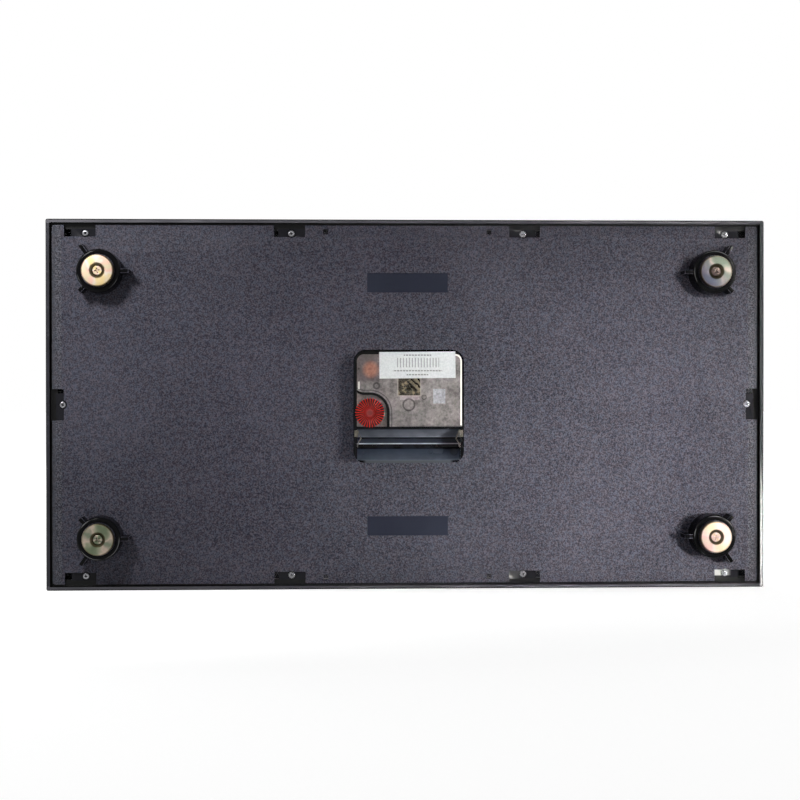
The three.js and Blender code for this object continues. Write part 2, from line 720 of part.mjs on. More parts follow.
// The battery bay opens to the rear: a slope along its upper wall, a curve round the cell along
// its lower one, and between them a bed with a ridge and two grooves.
function bayCuts() {
  const floor = caseFront + bay.floor;
  const bed = floor - bay.bedDepth;
  const slopeTop = floor + bay.slopeHeight;
  const openTo = caseRear + overrun;
  const lipRear = caseRear - bay.lipHeight;
  const middle = floor + bay.curveRadius;
  const curve = [];
  for (let i = 1; i <= bay.curvePoints; i++) {
    const first = Math.asin((bay.curveStart - bay.curveMiddle) / bay.curveRadius);
    const last = Math.acos((middle - lipRear) / bay.curveRadius);
    const angle = first + ((last - first) * i) / bay.curvePoints;
    const z = -bay.curveMiddle - bay.curveRadius * Math.sin(angle);
    curve.push(new THREE.Vector2(z, middle - bay.curveRadius * Math.cos(angle)));
  }
  const section = new THREE.Shape([
    new THREE.Vector2(-bay.top, openTo),
    new THREE.Vector2(-bay.top, slopeTop),
    new THREE.Vector2(-bay.slopeBottom, bed),
    new THREE.Vector2(bay.ridge.high, bed),
    new THREE.Vector2(bay.ridge.high, floor),
    new THREE.Vector2(bay.ridge.low, floor),
    new THREE.Vector2(bay.ridge.low, bed),
    new THREE.Vector2(-bay.curveStart, bed),
    ...curve,
    new THREE.Vector2(-bay.bottom, lipRear),
    new THREE.Vector2(-bay.bottom, openTo),
  ]);
  const trough = new THREE.ExtrudeGeometry(section, { depth: 2 * bay.halfLength, bevelEnabled: false });
  // The section lies in Z and Y, so its own X and Y turn to Z and Y, and its depth to X
  trough.rotateY(-Math.PI / 2).translate(bay.halfLength, 0, 0);
  const along = [-bay.halfLength, bay.halfLength];
  const grooveSpan = [bed - bay.grooveDepth, floor];
  const grooves = bay.grooves.map(({ low, high }) => box(along, grooveSpan, [low, high]));
  const lipAlong = [-bay.lipHalfLength, bay.lipHalfLength];
  const lip = box(lipAlong, [lipRear, openTo], [-movement.below - overrun, -bay.bottom + slip]);
  const holes = bayHoles.map(({ x, z, radius }) => {
    return rod(radius, [bed, lipRear], { x, z, facets: sides.small });
  });
  const slot = box([baySlot.left, baySlot.right], [bed, lipRear], [baySlot.low, baySlot.high]);
  const lugNotches = [1, -1].map((side) => {
    const across = [side * (bay.halfLength - slip), side * (movement.halfWidth + overrun)];
    const rows = [caseRear - contact.lugSink - contact.thick - slip, openTo];
    const low = -contact.top - contact.lugLength - slip;
    return box(across.sort((a, b) => a - b), rows, [low, -contact.top + slip]);
  });
  return [solid(trough), ...grooves, lip, ...holes, slot, ...lugNotches];
}

// Posts on the case floor that carry the stator and the circuit board
function casePosts() {
  const statorTop = floorRear + stator.above - slip;
  const boardTop = floorRear + board.above - slip;
  const foot = floorRear - movement.floor / 2;
  const { radius, leftX, leftZ, rightX, rightZ } = statorPost;
  const facets = sides.fine;
  return joined(
    rod(radius, [foot, statorTop], { x: leftX, z: leftZ, facets }),
    rod(radius, [foot, statorTop], { x: rightX, z: rightZ, facets }),
    ...boardPosts().map((place) => rod(board.postRadius, [foot, boardTop], { ...place, facets })),
  );
}

function boardPosts() {
  const inset = (board.right - board.cornerX) * board.postInsetShare;
  return [
    { x: -board.right + inset, z: board.top - inset },
    { x: -board.right + inset, z: -board.bottom + inset },
  ];
}

// Clear cover: a plate in the case's rebate, stepped down round the setting knob
function movementCover() {
  const edge = movement.halfWidth - movement.rebate - slip;
  const top = movement.above - movement.rebate - slip;
  const corner = movement.corner - movement.rebate - slip;
  const open = wellOutline(0, edge + overrun, movement.coverBelow + overrun);
  // The plate is bevelled at both ends and then loses its front one
  const { bevel } = cover;
  const rows = [bevel - movement.coverBelow, top - bevel];
  const within = archedRectangle([bevel - edge, edge - bevel], rows, corner - bevel);
  const plate = bevelled(within, [coverFront - bevel, coverRear], bevel, movement.cornerFacets);
  const frontEnd = slab(centred(half, corner), [coverFront - overrun, coverFront]);
  const shell = cut(plate, frontEnd, slab(open, [coverFront - overrun, coverRear + overrun]));
  const tray = cut(
    slab(wellOutline(well.wall, edge, movement.coverBelow), [wellFloorFront, coverFront + slip]),
    slab(open, [wellFloorRear, coverRear + overrun]),
  );
  let whole = joined(shell, tray);
  const bossSpan = [bossFront, coverRear - cover.thick / 2];
  for (const { x, z } of [intermediateAxis, rotorAxis, thirdAxis, shaftAxis]) {
    whole = whole.add(rod(cover.bossRadius, bossSpan, { x, z, facets: sides.small }));
    const depth = [bossFront - overrun, bossFront + cover.bossHoleDepth];
    whole = whole.subtract(rod(cover.bossHole, depth, { x, z, facets: sides.fine }));
  }
  for (const [radius, { x, z }] of [
    [coverRing.shaftRadius, shaftAxis], [coverRing.pivotRadius, thirdAxis], [coverRing.radius, coverRing],
  ]) {
    const raised = [coverRear - cover.bevel, coverRear + coverRing.height];
    const bore = [coverRear, coverRear + overrun];
    const ring = rod(radius, raised, { x, z }).subtract(rod(radius - coverRing.wall, bore, { x, z }));
    whole = whole.add(ring);
  }
  const shaftHole = [wellFloorFront - overrun, wellFloorRear + overrun];
  whole = whole.subtract(rod(knob.shaftRadius + running, shaftHole, { ...knobAxis, facets: sides.small }));
  return mesh("movement_cover", whole, materials.smoke);
}

// The knob's well as seen from behind: an arc round the knob, open to the side and below
function wellOutline(grow, side, below) {
  const radius = well.radius + grow;
  const high = knob.z + well.topRise + grow;
  const shape = new THREE.Shape();
  shape.moveTo(knob.x - radius, -below);
  shape.lineTo(side, -below);
  shape.lineTo(side, high);
  shape.lineTo(knob.x, high);
  shape.absarc(knob.x, high - radius, radius, Math.PI / 2, Math.PI);
  shape.closePath();
  return shape;
}

// Setting knob with its ribbed head, its shaft and the gear that turns the motion work
function setKnob(phase) {
  const front = wellFloorRear + knob.clearOfFloor;
  const rear = coverRear + knob.rise;
  const ribs = [];
  for (let i = 0; i < knob.ribCount; i++) {
    const at = (radius, share) => {
      const angle = ((i + share) * 2 * Math.PI) / knob.ribCount;
      ribs.push([radius * Math.cos(angle), radius * Math.sin(angle)]);
    };
    at(knob.radius, -knob.ribShare / 2);
    at(knob.radius, knob.ribShare / 2);
    at(knob.radius - knob.ribDepth, 1 / 2);
  }
  const shape = joined(
    slab(outline(ribs), [front, rear]),
    rod(knob.shaftRadius, [knobLevel[0], front + slip], { facets: sides.small }),
    gear(teeth.knob, modules.motion, phase, knobLevel),
    rod(wheel.arborRadius, [frontPivot, knobLevel[0] + slip], { facets: sides.fine }),
  );
  return onAxis(mesh("set_knob", shape, materials.red), knobAxis);
}

function onAxis(piece, axis) {
  piece.position.set(axis.x, 0, axis.z);
  return piece;
}

// An arbor along Y that thins to a pivot at each end
function arbor([y0, y1], radius, pivotLength) {
  return joined(
    rod(radius, [y0 + pivotLength, y1 - pivotLength], { facets: sides.fine }),
    rod(wheel.pivotRadius, [y0, y1], { facets: sides.fine }),
  );
}

const pivotLength = movement.pivotHoleDepth + slip;

const phases = {};
phases.intermediatePinion = matingPhase(
  shaftAxis, teeth.seconds, 0, intermediateAxis, teeth.intermediatePinion,
);
phases.rotorPinion = matingPhase(intermediateAxis, teeth.intermediate, 0, rotorAxis, teeth.rotorPinion);
phases.third = matingPhase(shaftAxis, teeth.secondsPinion, 0, thirdAxis, teeth.third);
phases.centre = matingPhase(thirdAxis, teeth.thirdPinion, 0, shaftAxis, teeth.centre);
phases.motion = matingPhase(shaftAxis, teeth.minutePinion, 0, motionAxis, teeth.motion);
phases.hour = matingPhase(motionAxis, teeth.motionPinion, 0, shaftAxis, teeth.hour);
phases.knob = matingPhase(motionAxis, teeth.motion, phases.motion, knobAxis, teeth.knob);

function rotorPiece() {
  const magnetSpan = [above(rotor.above), above(rotor.above + rotor.height)];
  const shape = joined(
    rod(rotor.radius, magnetSpan, { facets: sides.medium }),
    gear(teeth.rotorPinion, modules.rotor, phases.rotorPinion, widened(lastLevel)),
    arbor([frontPivot, rearPivot], wheel.arborRadius, pivotLength),
  );
  return onAxis(mesh("rotor", shape, materials.steel), rotorAxis);
}

function intermediateWheel() {
  const pinionRows = [secondsLevel[0] - pinionOver, lastLevel[0]];
  const shape = joined(
    gear(teeth.intermediate, modules.rotor, 0, lastLevel),
    gear(teeth.intermediatePinion, modules.seconds, phases.intermediatePinion, pinionRows),
    arbor([frontPivot, rearPivot], wheel.pivotRadius + slip, pivotLength),
  );
  return onAxis(mesh("intermediate_wheel", shape, materials.nylon), intermediateAxis);
}

// The seconds arbor runs from the cover through both hand tubes to the second hand
function secondsWheel() {
  const shape = joined(
    gear(teeth.seconds, modules.seconds, 0, secondsLevel),
    gear(teeth.secondsPinion, modules.third, 0, [thirdLevel[0] - pinionOver, secondsLevel[0]]),
    rod(secondsArbor.radius, [secondHandRear - handThick, rearPivot - pivotLength], { facets: sides.fine }),
    rod(wheel.pivotRadius, [secondHandRear, rearPivot], { facets: sides.fine }),
  );
  return mesh("seconds_wheel", shape, materials.nylon);
}

function thirdWheel() {
  const shape = joined(
    gear(teeth.third, modules.third, phases.third, thirdLevel),
    gear(teeth.thirdPinion, modules.centre, 0, [centreLevel[0] - pinionOver, thirdLevel[0]]),
    arbor([frontPivot, rearPivot], wheel.arborRadius, pivotLength),
  );
  return onAxis(mesh("third_wheel", shape, materials.nylon), thirdAxis);
}

// The centre wheel turns on the minute tube: the real one grips it with a little friction
function centreWheel() {
  const shape = cut(
    gear(teeth.centre, modules.centre, phases.centre, centreLevel),
    rod(minuteTube.radius + running, [centreLevel[0] - overrun, centreLevel[1] + overrun]),
  );
  return mesh("centre_wheel", shape, materials.brass);
}

function minutePinion() {
  const tubeFront = minuteHandRear - handThick;
  const bore = [tubeFront - overrun, centreLevel[1] + overrun];
  const shape = cut(
    joined(
      gear(teeth.minutePinion, modules.motion, 0, knobLevel),
      rod(minuteTube.radius, [tubeFront - slip, centreLevel[1] + slip]),
    ),
    rod(minuteTube.boreRadius, bore, { facets: sides.fine }),
  );
  return mesh("minute_pinion", shape, materials.brass);
}

function motionWheel() {
  const shape = joined(
    gear(teeth.motion, modules.motion, phases.motion, knobLevel),
    gear(teeth.motionPinion, modules.hour, 0, [workLevel[0], knobLevel[0]]),
    rod(wheel.pivotRadius, [frontPivot, knobLevel[1] + pinionOver], { facets: sides.fine }),
  );
  return onAxis(mesh("motion_wheel", shape, materials.nylon), motionAxis);
}

function hourWheel() {
  const shape = cut(
    joined(
      gear(teeth.hour, modules.hour, phases.hour, workLevel),
      rod(hourTube.radius, [hourHandRear - handThick - slip, workLevel[1]]),
    ),
    rod(hourTube.boreRadius, [hourHandRear - handThick - overrun, workLevel[1] + overrun]),
  );
  return mesh("hour_wheel", shape, materials.nylon);
}

// A flat iron loop: the core through the coil, two legs, and the arm with the rotor's eye
function statorPlate() {
  const span = [above(stator.above), above(stator.above + stator.thick)];
  const armZ = rotorAxis.z + stator.armLift;
  const leg = (x0, x1) => box([x0, x1], span, [armZ - stator.armHalf, coil.z + stator.coreHalf]);
  const whole = joined(
    box([stator.inner, stator.outer], span, [coil.z - stator.coreHalf, coil.z + stator.coreHalf]),
    box([stator.inner, stator.outer], span, [armZ - stator.armHalf, armZ + stator.armHalf]),
    leg(stator.inner, stator.inner + stator.legWidth),
    leg(stator.outer - stator.legWidth, stator.outer),
    rod(stator.eyeRadius, span, { ...rotorAxis, facets: sides.medium }),
  );
  const through = [span[0] - overrun, span[1] + overrun];
  const eye = rod(stator.eyeHole, through, { ...rotorAxis, facets: sides.medium });
  return mesh("stator", whole.subtract(eye), materials.steel);
}

// A round bar along X
function barAlongX(radius, [x0, x1], y, z, facets) {
  const geometry = new THREE.CylinderGeometry(radius, radius, x1 - x0, facets).rotateZ(Math.PI / 2);
  return solid(geometry.translate((x0 + x1) / 2, y, z));
}

const coreMiddle = above(stator.above + stator.thick / 2);

function coilBobbin() {
  const flange = (x0) => box(
    [x0, x0 + coil.flange],
    [coreMiddle - coil.flangeHalf, coreMiddle + coil.flangeHalf],
    [coil.z - coil.flangeHalf, coil.z + coil.flangeHalf],
  );
  const bore = box(
    [coil.left - overrun, coil.right + overrun],
    [coreMiddle - stator.thick / 2 - coil.coreGap, coreMiddle + stator.thick / 2 + coil.coreGap],
    [coil.z - stator.coreHalf - coil.coreGap, coil.z + stator.coreHalf + coil.coreGap],
  );
  const tube = barAlongX(coil.tubeRadius, [coil.left, coil.right], coreMiddle, coil.z, sides.medium);
  const whole = joined(flange(coil.left), flange(coil.right - coil.flange), tube);
  return mesh("coil_bobbin", whole.subtract(bore), materials.nylon);
}

function coilWinding() {
  const span = [coil.left + coil.flange + slip, coil.right - coil.flange - slip];
  const past = [coil.left - overrun, coil.right + overrun];
  const ring = cut(
    barAlongX(coil.radius, span, coreMiddle, coil.z, sides.medium),
    barAlongX(coil.tubeRadius + slip, past, coreMiddle, coil.z, sides.medium),
  );
  return mesh("coil_winding", ring, materials.copper);
}

const boardSpan = [above(board.above), above(board.above + board.thick)];

function circuitBoard() {
  const shape = outline([
    [board.left, board.low],
    [board.left, board.top],
    [-board.right, board.top],
    [-board.right, -board.bottom],
    [-board.cornerX, -board.bottom],
    [-board.cornerX, board.low],
  ]);
  return mesh("circuit_board", slab(shape, boardSpan), materials.board);
}

function chipBlob() {
  const span = [boardSpan[1] + slip / 2, boardSpan[1] + chip.height];
  const shape = { x: chip.x, z: chip.z, rearRadius: chip.radius / 2, facets: sides.medium };
  const dome = rod(chip.radius, span, shape);
  return mesh("ic_chip", dome, materials.epoxy);
}

function crystalCan() {
  const front = boardSpan[0] - slip - crystal.radius;
  const can = new THREE.CylinderGeometry(crystal.radius, crystal.radius, crystal.length, sides.small);
  can.rotateX(Math.PI / 2).translate(-crystal.x, front, crystal.z);
  return mesh("crystal_can", solid(can), materials.steel);
}

// Battery contacts: spring strips bent in plan, each with a lug over the end wall
function batteryContact(name, side) {
  const wallX = bay.halfLength - contact.wallGap;
  const near = wallX - contact.thick;
  const strip = outline([
    [wallX, -contact.top],
    [wallX - contact.bend, -contact.elbow],
    [wallX, -contact.foot],
    [wallX, -contact.bottom],
    [near, -contact.bottom],
    [near, -contact.foot],
    [near - contact.bend, -contact.elbow],
    [near, -contact.top],
  ].map(([x, z]) => [side * x, z]));
  const rear = caseRear - contact.lugSink;
  const lugX = [side * near, side * (wallX + contact.lugWidth)].sort((a, b) => a - b);
  const lug = box(lugX, [rear - contact.thick, rear], [-contact.top - contact.lugLength, -contact.top]);
  const blade = slab(strip, [rear - contact.height, rear]);
  return mesh(name, joined(blade, lug), materials.steel);
}

function dialNut() {
  const points = [];
  const flats = 6;
  for (let i = 0; i < flats; i++) {
    const angle = (i * 2 * Math.PI) / flats;
    const radius = nut.acrossFlats / 2 / Math.cos(Math.PI / flats);
    points.push([radius * Math.cos(angle), radius * Math.sin(angle)]);
  }
  const span = [nutRear - nut.thick, nutRear];
  const hole = rod(bushing.radius + slip, [span[0] - overrun, span[1] + overrun]);
  return mesh("mounting_nut", slab(outline(points), span).subtract(hole), materials.brass);
}

function dialWasher() {
  const span = [washerRear - washer.thick, washerRear];
  const hole = rod(bushing.radius + slip, [span[0] - overrun, span[1] + overrun]);
  const disc = rod(washer.radius, span, { facets: sides.medium });
  return mesh("dial_washer", disc.subtract(hole), materials.steel);
}

function labelSheet() {
  const rear = coverRear + slip / 2;
  const sheet = new THREE.BoxGeometry(label.width, label.thick, label.height).rotateY(label.tilt);
  sheet.translate(label.x, rear + label.thick / 2, label.z);
  return mesh("movement_label", solid(sheet), materials.paper);
}

// A hand pointing to twelve, turned clockwise as its reader sees it
function hand(name, size, rear, boreRadius, angle, material) {
  const blade = outline([
    [-size.width / 2, -size.tail],
    [size.width / 2, -size.tail],
    [size.width / 2, 0],
    [size.tipWidth / 2, size.length - size.tipWidth],
    [0, size.length],
    [-size.tipWidth / 2, size.length - size.tipWidth],
    [-size.width / 2, 0],
  ]);
  const front = rear - handThick;
  const whole = joined(
    slab(blade, [front, rear]),
    rod(size.hubRadius, [front, rear]),
    rod(boreRadius + hubThick, [front - hubThick / 2, rear], { facets: sides.small }),
  );
  const bored = whole.subtract(rod(boreRadius, [front - overrun, rear + overrun]));
  const piece = mesh(name, bored, material);
  piece.rotation.y = angle;
  return piece;
}

function hands() {
  const turn = 2 * Math.PI;
  const seconds = restTime.seconds / 60;
  const minutes = (restTime.minutes + seconds) / 60;
  const hours = (restTime.hours + minutes) / 12;
  const { handBlack: black, red } = materials;
  return [
    hand("hour_hand", hourHand, hourHandRear, hourTube.radius + slip, hours * turn, black),
    hand("minute_hand", minuteHand, minuteHandRear, minuteTube.radius + slip, minutes * turn, black),
    hand("second_hand", secondHand, secondHandRear, secondsArbor.radius + slip, seconds * turn, red),
  ];
}

const clock = new THREE.Group();
const housing = new THREE.Group();
housing.add(frontFrame(), lensSheet(), dialPlate(), backPanel(), ...panelScrews());
const fixings = new THREE.Group();
fixings.add(...magnets(), ...magnetScrews());
const quartz = new THREE.Group();
quartz.add(
  movementCase(), movementCover(), setKnob(phases.knob), labelSheet(), dialNut(), dialWasher(),
  batteryContact("battery_contact_positive", 1), batteryContact("battery_contact_negative", -1),
  coilBobbin(), coilWinding(), statorPlate(), rotorPiece(), circuitBoard(), chipBlob(), crystalCan(),
  intermediateWheel(), secondsWheel(), thirdWheel(), centreWheel(),
  minutePinion(), motionWheel(), hourWheel(),
);
const display = new THREE.Group();
display.add(...hands());
clock.add(housing, fixings, quartz, display);

export default clock;
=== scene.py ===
"""Looks of one dial unit of a wide wall clock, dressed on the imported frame.

Metres. +Y points out of the back, where the magnets are, +Z is up, and the dial faces -Y.
"""

import json
import math

import bmesh
import bpy
from mathutils import Matrix, Vector

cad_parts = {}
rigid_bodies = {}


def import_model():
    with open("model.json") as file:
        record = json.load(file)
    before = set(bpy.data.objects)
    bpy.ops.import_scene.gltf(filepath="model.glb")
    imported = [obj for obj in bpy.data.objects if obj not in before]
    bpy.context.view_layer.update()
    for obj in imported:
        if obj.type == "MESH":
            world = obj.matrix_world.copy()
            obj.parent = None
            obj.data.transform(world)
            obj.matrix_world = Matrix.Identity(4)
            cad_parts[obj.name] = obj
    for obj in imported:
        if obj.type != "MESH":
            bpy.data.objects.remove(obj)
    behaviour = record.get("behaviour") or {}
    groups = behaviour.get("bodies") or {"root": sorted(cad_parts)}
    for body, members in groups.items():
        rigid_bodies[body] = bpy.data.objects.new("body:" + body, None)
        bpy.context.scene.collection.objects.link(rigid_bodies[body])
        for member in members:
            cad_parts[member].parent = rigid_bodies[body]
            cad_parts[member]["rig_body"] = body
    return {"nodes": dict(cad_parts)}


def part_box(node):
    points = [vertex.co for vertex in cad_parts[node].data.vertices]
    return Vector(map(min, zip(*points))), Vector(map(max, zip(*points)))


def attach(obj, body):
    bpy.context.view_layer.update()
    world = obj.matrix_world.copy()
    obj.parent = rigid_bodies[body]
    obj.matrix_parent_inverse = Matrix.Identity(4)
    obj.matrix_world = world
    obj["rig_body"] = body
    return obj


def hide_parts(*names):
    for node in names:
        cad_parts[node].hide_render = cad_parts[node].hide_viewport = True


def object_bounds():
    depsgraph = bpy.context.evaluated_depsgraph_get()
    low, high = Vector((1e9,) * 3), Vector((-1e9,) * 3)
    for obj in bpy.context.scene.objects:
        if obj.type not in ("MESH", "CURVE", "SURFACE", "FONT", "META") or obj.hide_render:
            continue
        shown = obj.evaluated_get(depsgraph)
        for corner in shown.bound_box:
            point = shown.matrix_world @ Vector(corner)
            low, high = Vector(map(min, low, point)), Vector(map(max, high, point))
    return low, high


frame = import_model()
cad_box = [list(corner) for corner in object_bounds()]
nodes = frame["nodes"]

MM = 0.001
TURN = 2 * math.pi
WHITE = (1, 1, 1, 1)
NOISE_RANGE = (0.3, 0.7)  # nearly all of a noise lies between these


def linear(red, green, blue):
    """A screen colour, 0 to 255, as the linear colour that a shader takes."""
    def one(value):
        share = value / 255
        return share / 12.92 if share <= 0.04045 else ((share + 0.055) / 1.055) ** 2.4
    return (one(red), one(green), one(blue), 1)


class Signal:
    """An output of a shader node. Arithmetic on it adds Math nodes."""

    def __init__(self, graph, socket):
        self.graph = graph
        self.socket = socket

    def out(self, name):
        """Another output of the same node."""
        return Signal(self.graph, self.socket.node.outputs[name])

    def maths(self, operation, *values):
        return self.graph.node("ShaderNodeMath", {"operation": operation}, dict(enumerate(values)))

    def __add__(self, other):
        return self.maths("ADD", self, other)

    def __sub__(self, other):
        return self.maths("SUBTRACT", self, other)

    def __rsub__(self, other):
        return self.maths("SUBTRACT", other, self)

    def __mul__(self, other):
        return self.maths("MULTIPLY", self, other)

    def __truediv__(self, other):
        return self.maths("DIVIDE", self, other)

    def __rtruediv__(self, other):
        return self.maths("DIVIDE", other, self)

    def __pow__(self, other):
        return self.maths("POWER", self, other)

    def __mod__(self, other):
        return self.maths("FLOORED_MODULO", self, other)

    def __lt__(self, other):
        return self.maths("LESS_THAN", self, other)

    def __gt__(self, other):
        return self.maths("GREATER_THAN", self, other)

    def __abs__(self):
        return self.maths("ABSOLUTE", self)

    __radd__ = __add__
    __rmul__ = __mul__

    def least(self, other):
        return self.maths("MINIMUM", self, other)

    def most(self, other):
        return self.maths("MAXIMUM", self, other)

    def sine(self):
        return self.maths("SINE", self)

    def cosine(self):
        return self.maths("COSINE", self)

    def angle_over(self, across):
        """The angle of the point that lies so far across, and as far up as the signal says."""
        return self.maths("ARCTAN2", self, across)

    def smooth(self, low, high, start=0.0, end=1.0):
        """Turns from start to end, softly, as the signal goes from low to high."""
        ranged = {"interpolation_type": "SMOOTHSTEP"}
        values = {"Value": self, "From Min": low, "From Max": high, "To Min": start, "To Max": end}
        return self.graph.node("ShaderNodeMapRange", ranged, values)

    def spread(self, start=0.0, end=1.0):
        """A noise, stretched to go from start to end."""
        return self.smooth(*NOISE_RANGE, start, end)

    def inside(self, soft):
        """1 where the signal is below 0, with an edge as soft as given."""
        return self.smooth(-soft, soft, 1, 0)

    def line(self, level, core, edge):
        """1 along a level of the signal: whole up to core from it, and gone at edge."""
        return abs(self - level).smooth(core, edge, 1, 0)


class Graph:
    """A tree of shader nodes."""

    def __init__(self, tree):
        self.tree = tree
        self.point = None

    def fill(self, socket, value):
        """Links a signal to a socket, or sets a constant on it."""
        if isinstance(value, Signal):
            self.tree.links.new(value.socket, socket)
        else:
            socket.default_value = value

    def node(self, kind, settings=None, inputs=None):
        """Adds a node and returns its first output."""
        made = self.tree.nodes.new(kind)
        for key, value in (settings or {}).items():
            if key == "stops":
                ramp = made.color_ramp.elements
                while len(ramp) < len(value):
                    ramp.new(0.5)
                for stop, (place, color) in zip(ramp, value):
                    stop.position = place
                    stop.color = color
            else:
                setattr(made, key, value)
        for key, value in (inputs or {}).items():
            self.fill(made.inputs[key], value)
        return Signal(self, made.outputs[0])

    def place(self):
        """Object coordinates, in metres."""
        if self.point is None:
            self.point = self.node("ShaderNodeTexCoord").out("Object")
        return self.point

    def axes(self):
        split = self.node("ShaderNodeSeparateXYZ", inputs={0: self.place()})
        return split, split.out("Y"), split.out("Z")

    def noise(self, size, detail=2.0, roughness=0.5, stretch=None):
        """Noise whose blotches are about the size given, in metres."""
        point = self.place()
        if stretch:
            point = self.node("ShaderNodeMapping", inputs={"Vector": point, "Scale": stretch})
        values = {"Vector": point, "Scale": 1 / size, "Detail": detail, "Roughness": roughness}
        return self.node("ShaderNodeTexNoise", inputs=values)

    def mix(self, factor, first, second):
        """The first colour where the factor is 0, and the second where it is 1."""
        inputs = {0: factor, 6: first, 7: second}
        return self.node("ShaderNodeMix", {"data_type": "RGBA"}, inputs).out(2)

    def layers(self, base, *coats):
        """A colour with others laid over it in turn, each by its own factor."""
        for factor, color in coats:
            base = self.mix(factor, base, color)
        return base

    def background_rays(self):
        """1 for the rays that meet a white background, and 0 for those that carry light."""
        path = self.node("ShaderNodeLightPath")
        mirrored = path.out("Is Glossy Ray").most(path.out("Is Transmission Ray"))
        return path.out("Is Camera Ray").most(mirrored)


class Finish(Graph):
    """A material: one Principled shader, and the nodes that feed it."""

    def __init__(self, name, color, roughness, **constants):
        self.material = bpy.data.materials.new(name)
        self.material.use_nodes = True
        super().__init__(self.material.node_tree)
        self.shader = self.tree.nodes["Principled BSDF"]
        self.set("Base Color", color)
        self.set("Roughness", roughness)
        for socket, value in constants.items():
            self.set(socket.replace("_", " "), value)

    def set(self, name, value):
        self.fill(self.shader.inputs[name], value)

    def bump(self, height, distance, strength=1.0):
        values = {"Height": height, "Distance": distance, "Strength": strength}
        self.set("Normal", self.node("ShaderNodeBump", inputs=values))


def apart(across, up):
    """The distance of a point from where both signals are 0."""
    return (across * across + up * up) ** 0.5


def outside(x, z, field):
    """How far a point lies outside a rectangle, which has a middle and half sizes."""
    (middle_x, middle_z), (half_x, half_z) = field
    return (abs(x - middle_x) - half_x).most(abs(z - middle_z) - half_z)


def dimmed(color, share):
    """A colour at a share of its light."""
    return tuple(channel * share for channel in color[:3]) + (1,)


def moulded(name, color, roughness, depth=0.01 * MM, **constants):
    """Moulded plastic with a fine skin, faint flow marks and a little uneven gloss."""
    finish = Finish(name, color, roughness, **constants)
    flow = finish.noise(20 * MM, 3)
    skin = finish.noise(0.35 * MM)
    finish.set("Base Color", finish.mix(flow.spread(), dimmed(color, 0.72), color))
    finish.set("Roughness", roughness * (0.8 + flow * 0.4))
    finish.bump(skin, depth)
    return finish


def metal(name, color, roughness, stretch=None):
    """Bare or plated metal with faint marks in its surface."""
    finish = Finish(name, color, roughness, Metallic=1.0)
    stain = finish.noise(4 * MM, 3)
    marks = finish.noise(0.4 * MM, 3, stretch=stretch)
    finish.set("Base Color", finish.mix(stain.spread(), dimmed(color, 0.6), color))
    finish.set("Roughness", marks.spread(roughness * 0.7, roughness * 1.4))
    finish.bump(marks, 0.006 * MM)
    return finish


# Places along Y that the finishes and the pieces take from the solids
POST_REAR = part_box("back_panel")[1].y
PANEL_FIELD = POST_REAR - 12.5 * MM
BORDER_REAR = PANEL_FIELD - 0.4 * MM
COVER_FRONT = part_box("movement_cover")[0].y
DIAL_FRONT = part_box("dial_plate")[0].y

# A magnet's distance from the hand shaft, across and up, and the setting knob's axis
MAGNET_PLACE = (156.7 * MM, 67.7 * MM)
KNOB_AXIS = (19.8 * MM, -4.05 * MM)
KNOB_RIBS = 32

# The panel's two smooth plates and its four ring marks, from the middle lines
PLATE = ((0, 62.5 * MM), (20.8 * MM, 5 * MM))
RING_PLACE = (47.7 * MM, 79 * MM)
RING_RADIUS = 3 * MM

# Fields on the movement's cover, each a middle and half sizes
CHIP_WINDOW = ((-0.2 * MM, 9.2 * MM), (5.6 * MM, 4.5 * MM))
PALE_STRIP = ((-0.5 * MM, 3.6 * MM), (4.8 * MM, 1.1 * MM))
PALE_SQUARE = ((-15.4 * MM, 4.3 * MM), (3 * MM, 3.6 * MM))
# SIDE_GLINT is a painted highlight down the cover's left edge
SIDE_GLINT = ((25.3 * MM, 9.8 * MM), (0.3 * MM, 1.8 * MM))
COIL_END = ((19.3 * MM, 17.8 * MM), (3.8 * MM, 4 * MM))
WELL_MIDDLE = (19.8 * MM, -3.75 * MM)
# Dark rings on the cover, round the shaft, a pivot and a pin: place, radius and half width
COVER_RINGS = (
    (0, 0, 2.9 * MM, 0.6 * MM), (-7.7 * MM, 3.8 * MM, 1.1 * MM, 0.3 * MM),
    (16.4 * MM, 9.6 * MM, 1.4 * MM, 0.7 * MM), (25.4 * MM, 18.3 * MM, 0, 0.8 * MM),
)

# The cell's bay in the case, and the edges of the frame: its inside, and its outer corner
CELL_BAY = ((0, -20.4 * MM), (26.3 * MM, 8.1 * MM))
BAY_LOW, BAY_HIGH = -28.4 * MM, -12.4 * MM
FRAME_INSIDE = ((0, 0), (182.8 * MM, 93.1 * MM))
FRAME_CORNER = ((0, 0), (184 * MM, 94.3 * MM))
FRAME_SIDE = (182.5 * MM, 92.5 * MM)  # past these, across and up, lie the frame's rims

LABEL_MIDDLE = (-4.35 * MM, 20.1 * MM)
# Each bar's height over the label's middle, and half its length
LABEL_BARS = ((5.0 * MM, 7.0 * MM), (-2.9 * MM, 12.5 * MM), (-4.9 * MM, 5.5 * MM))
LABEL_PITCH = 1.5 * MM
WIRE_PITCH = 0.3 * MM


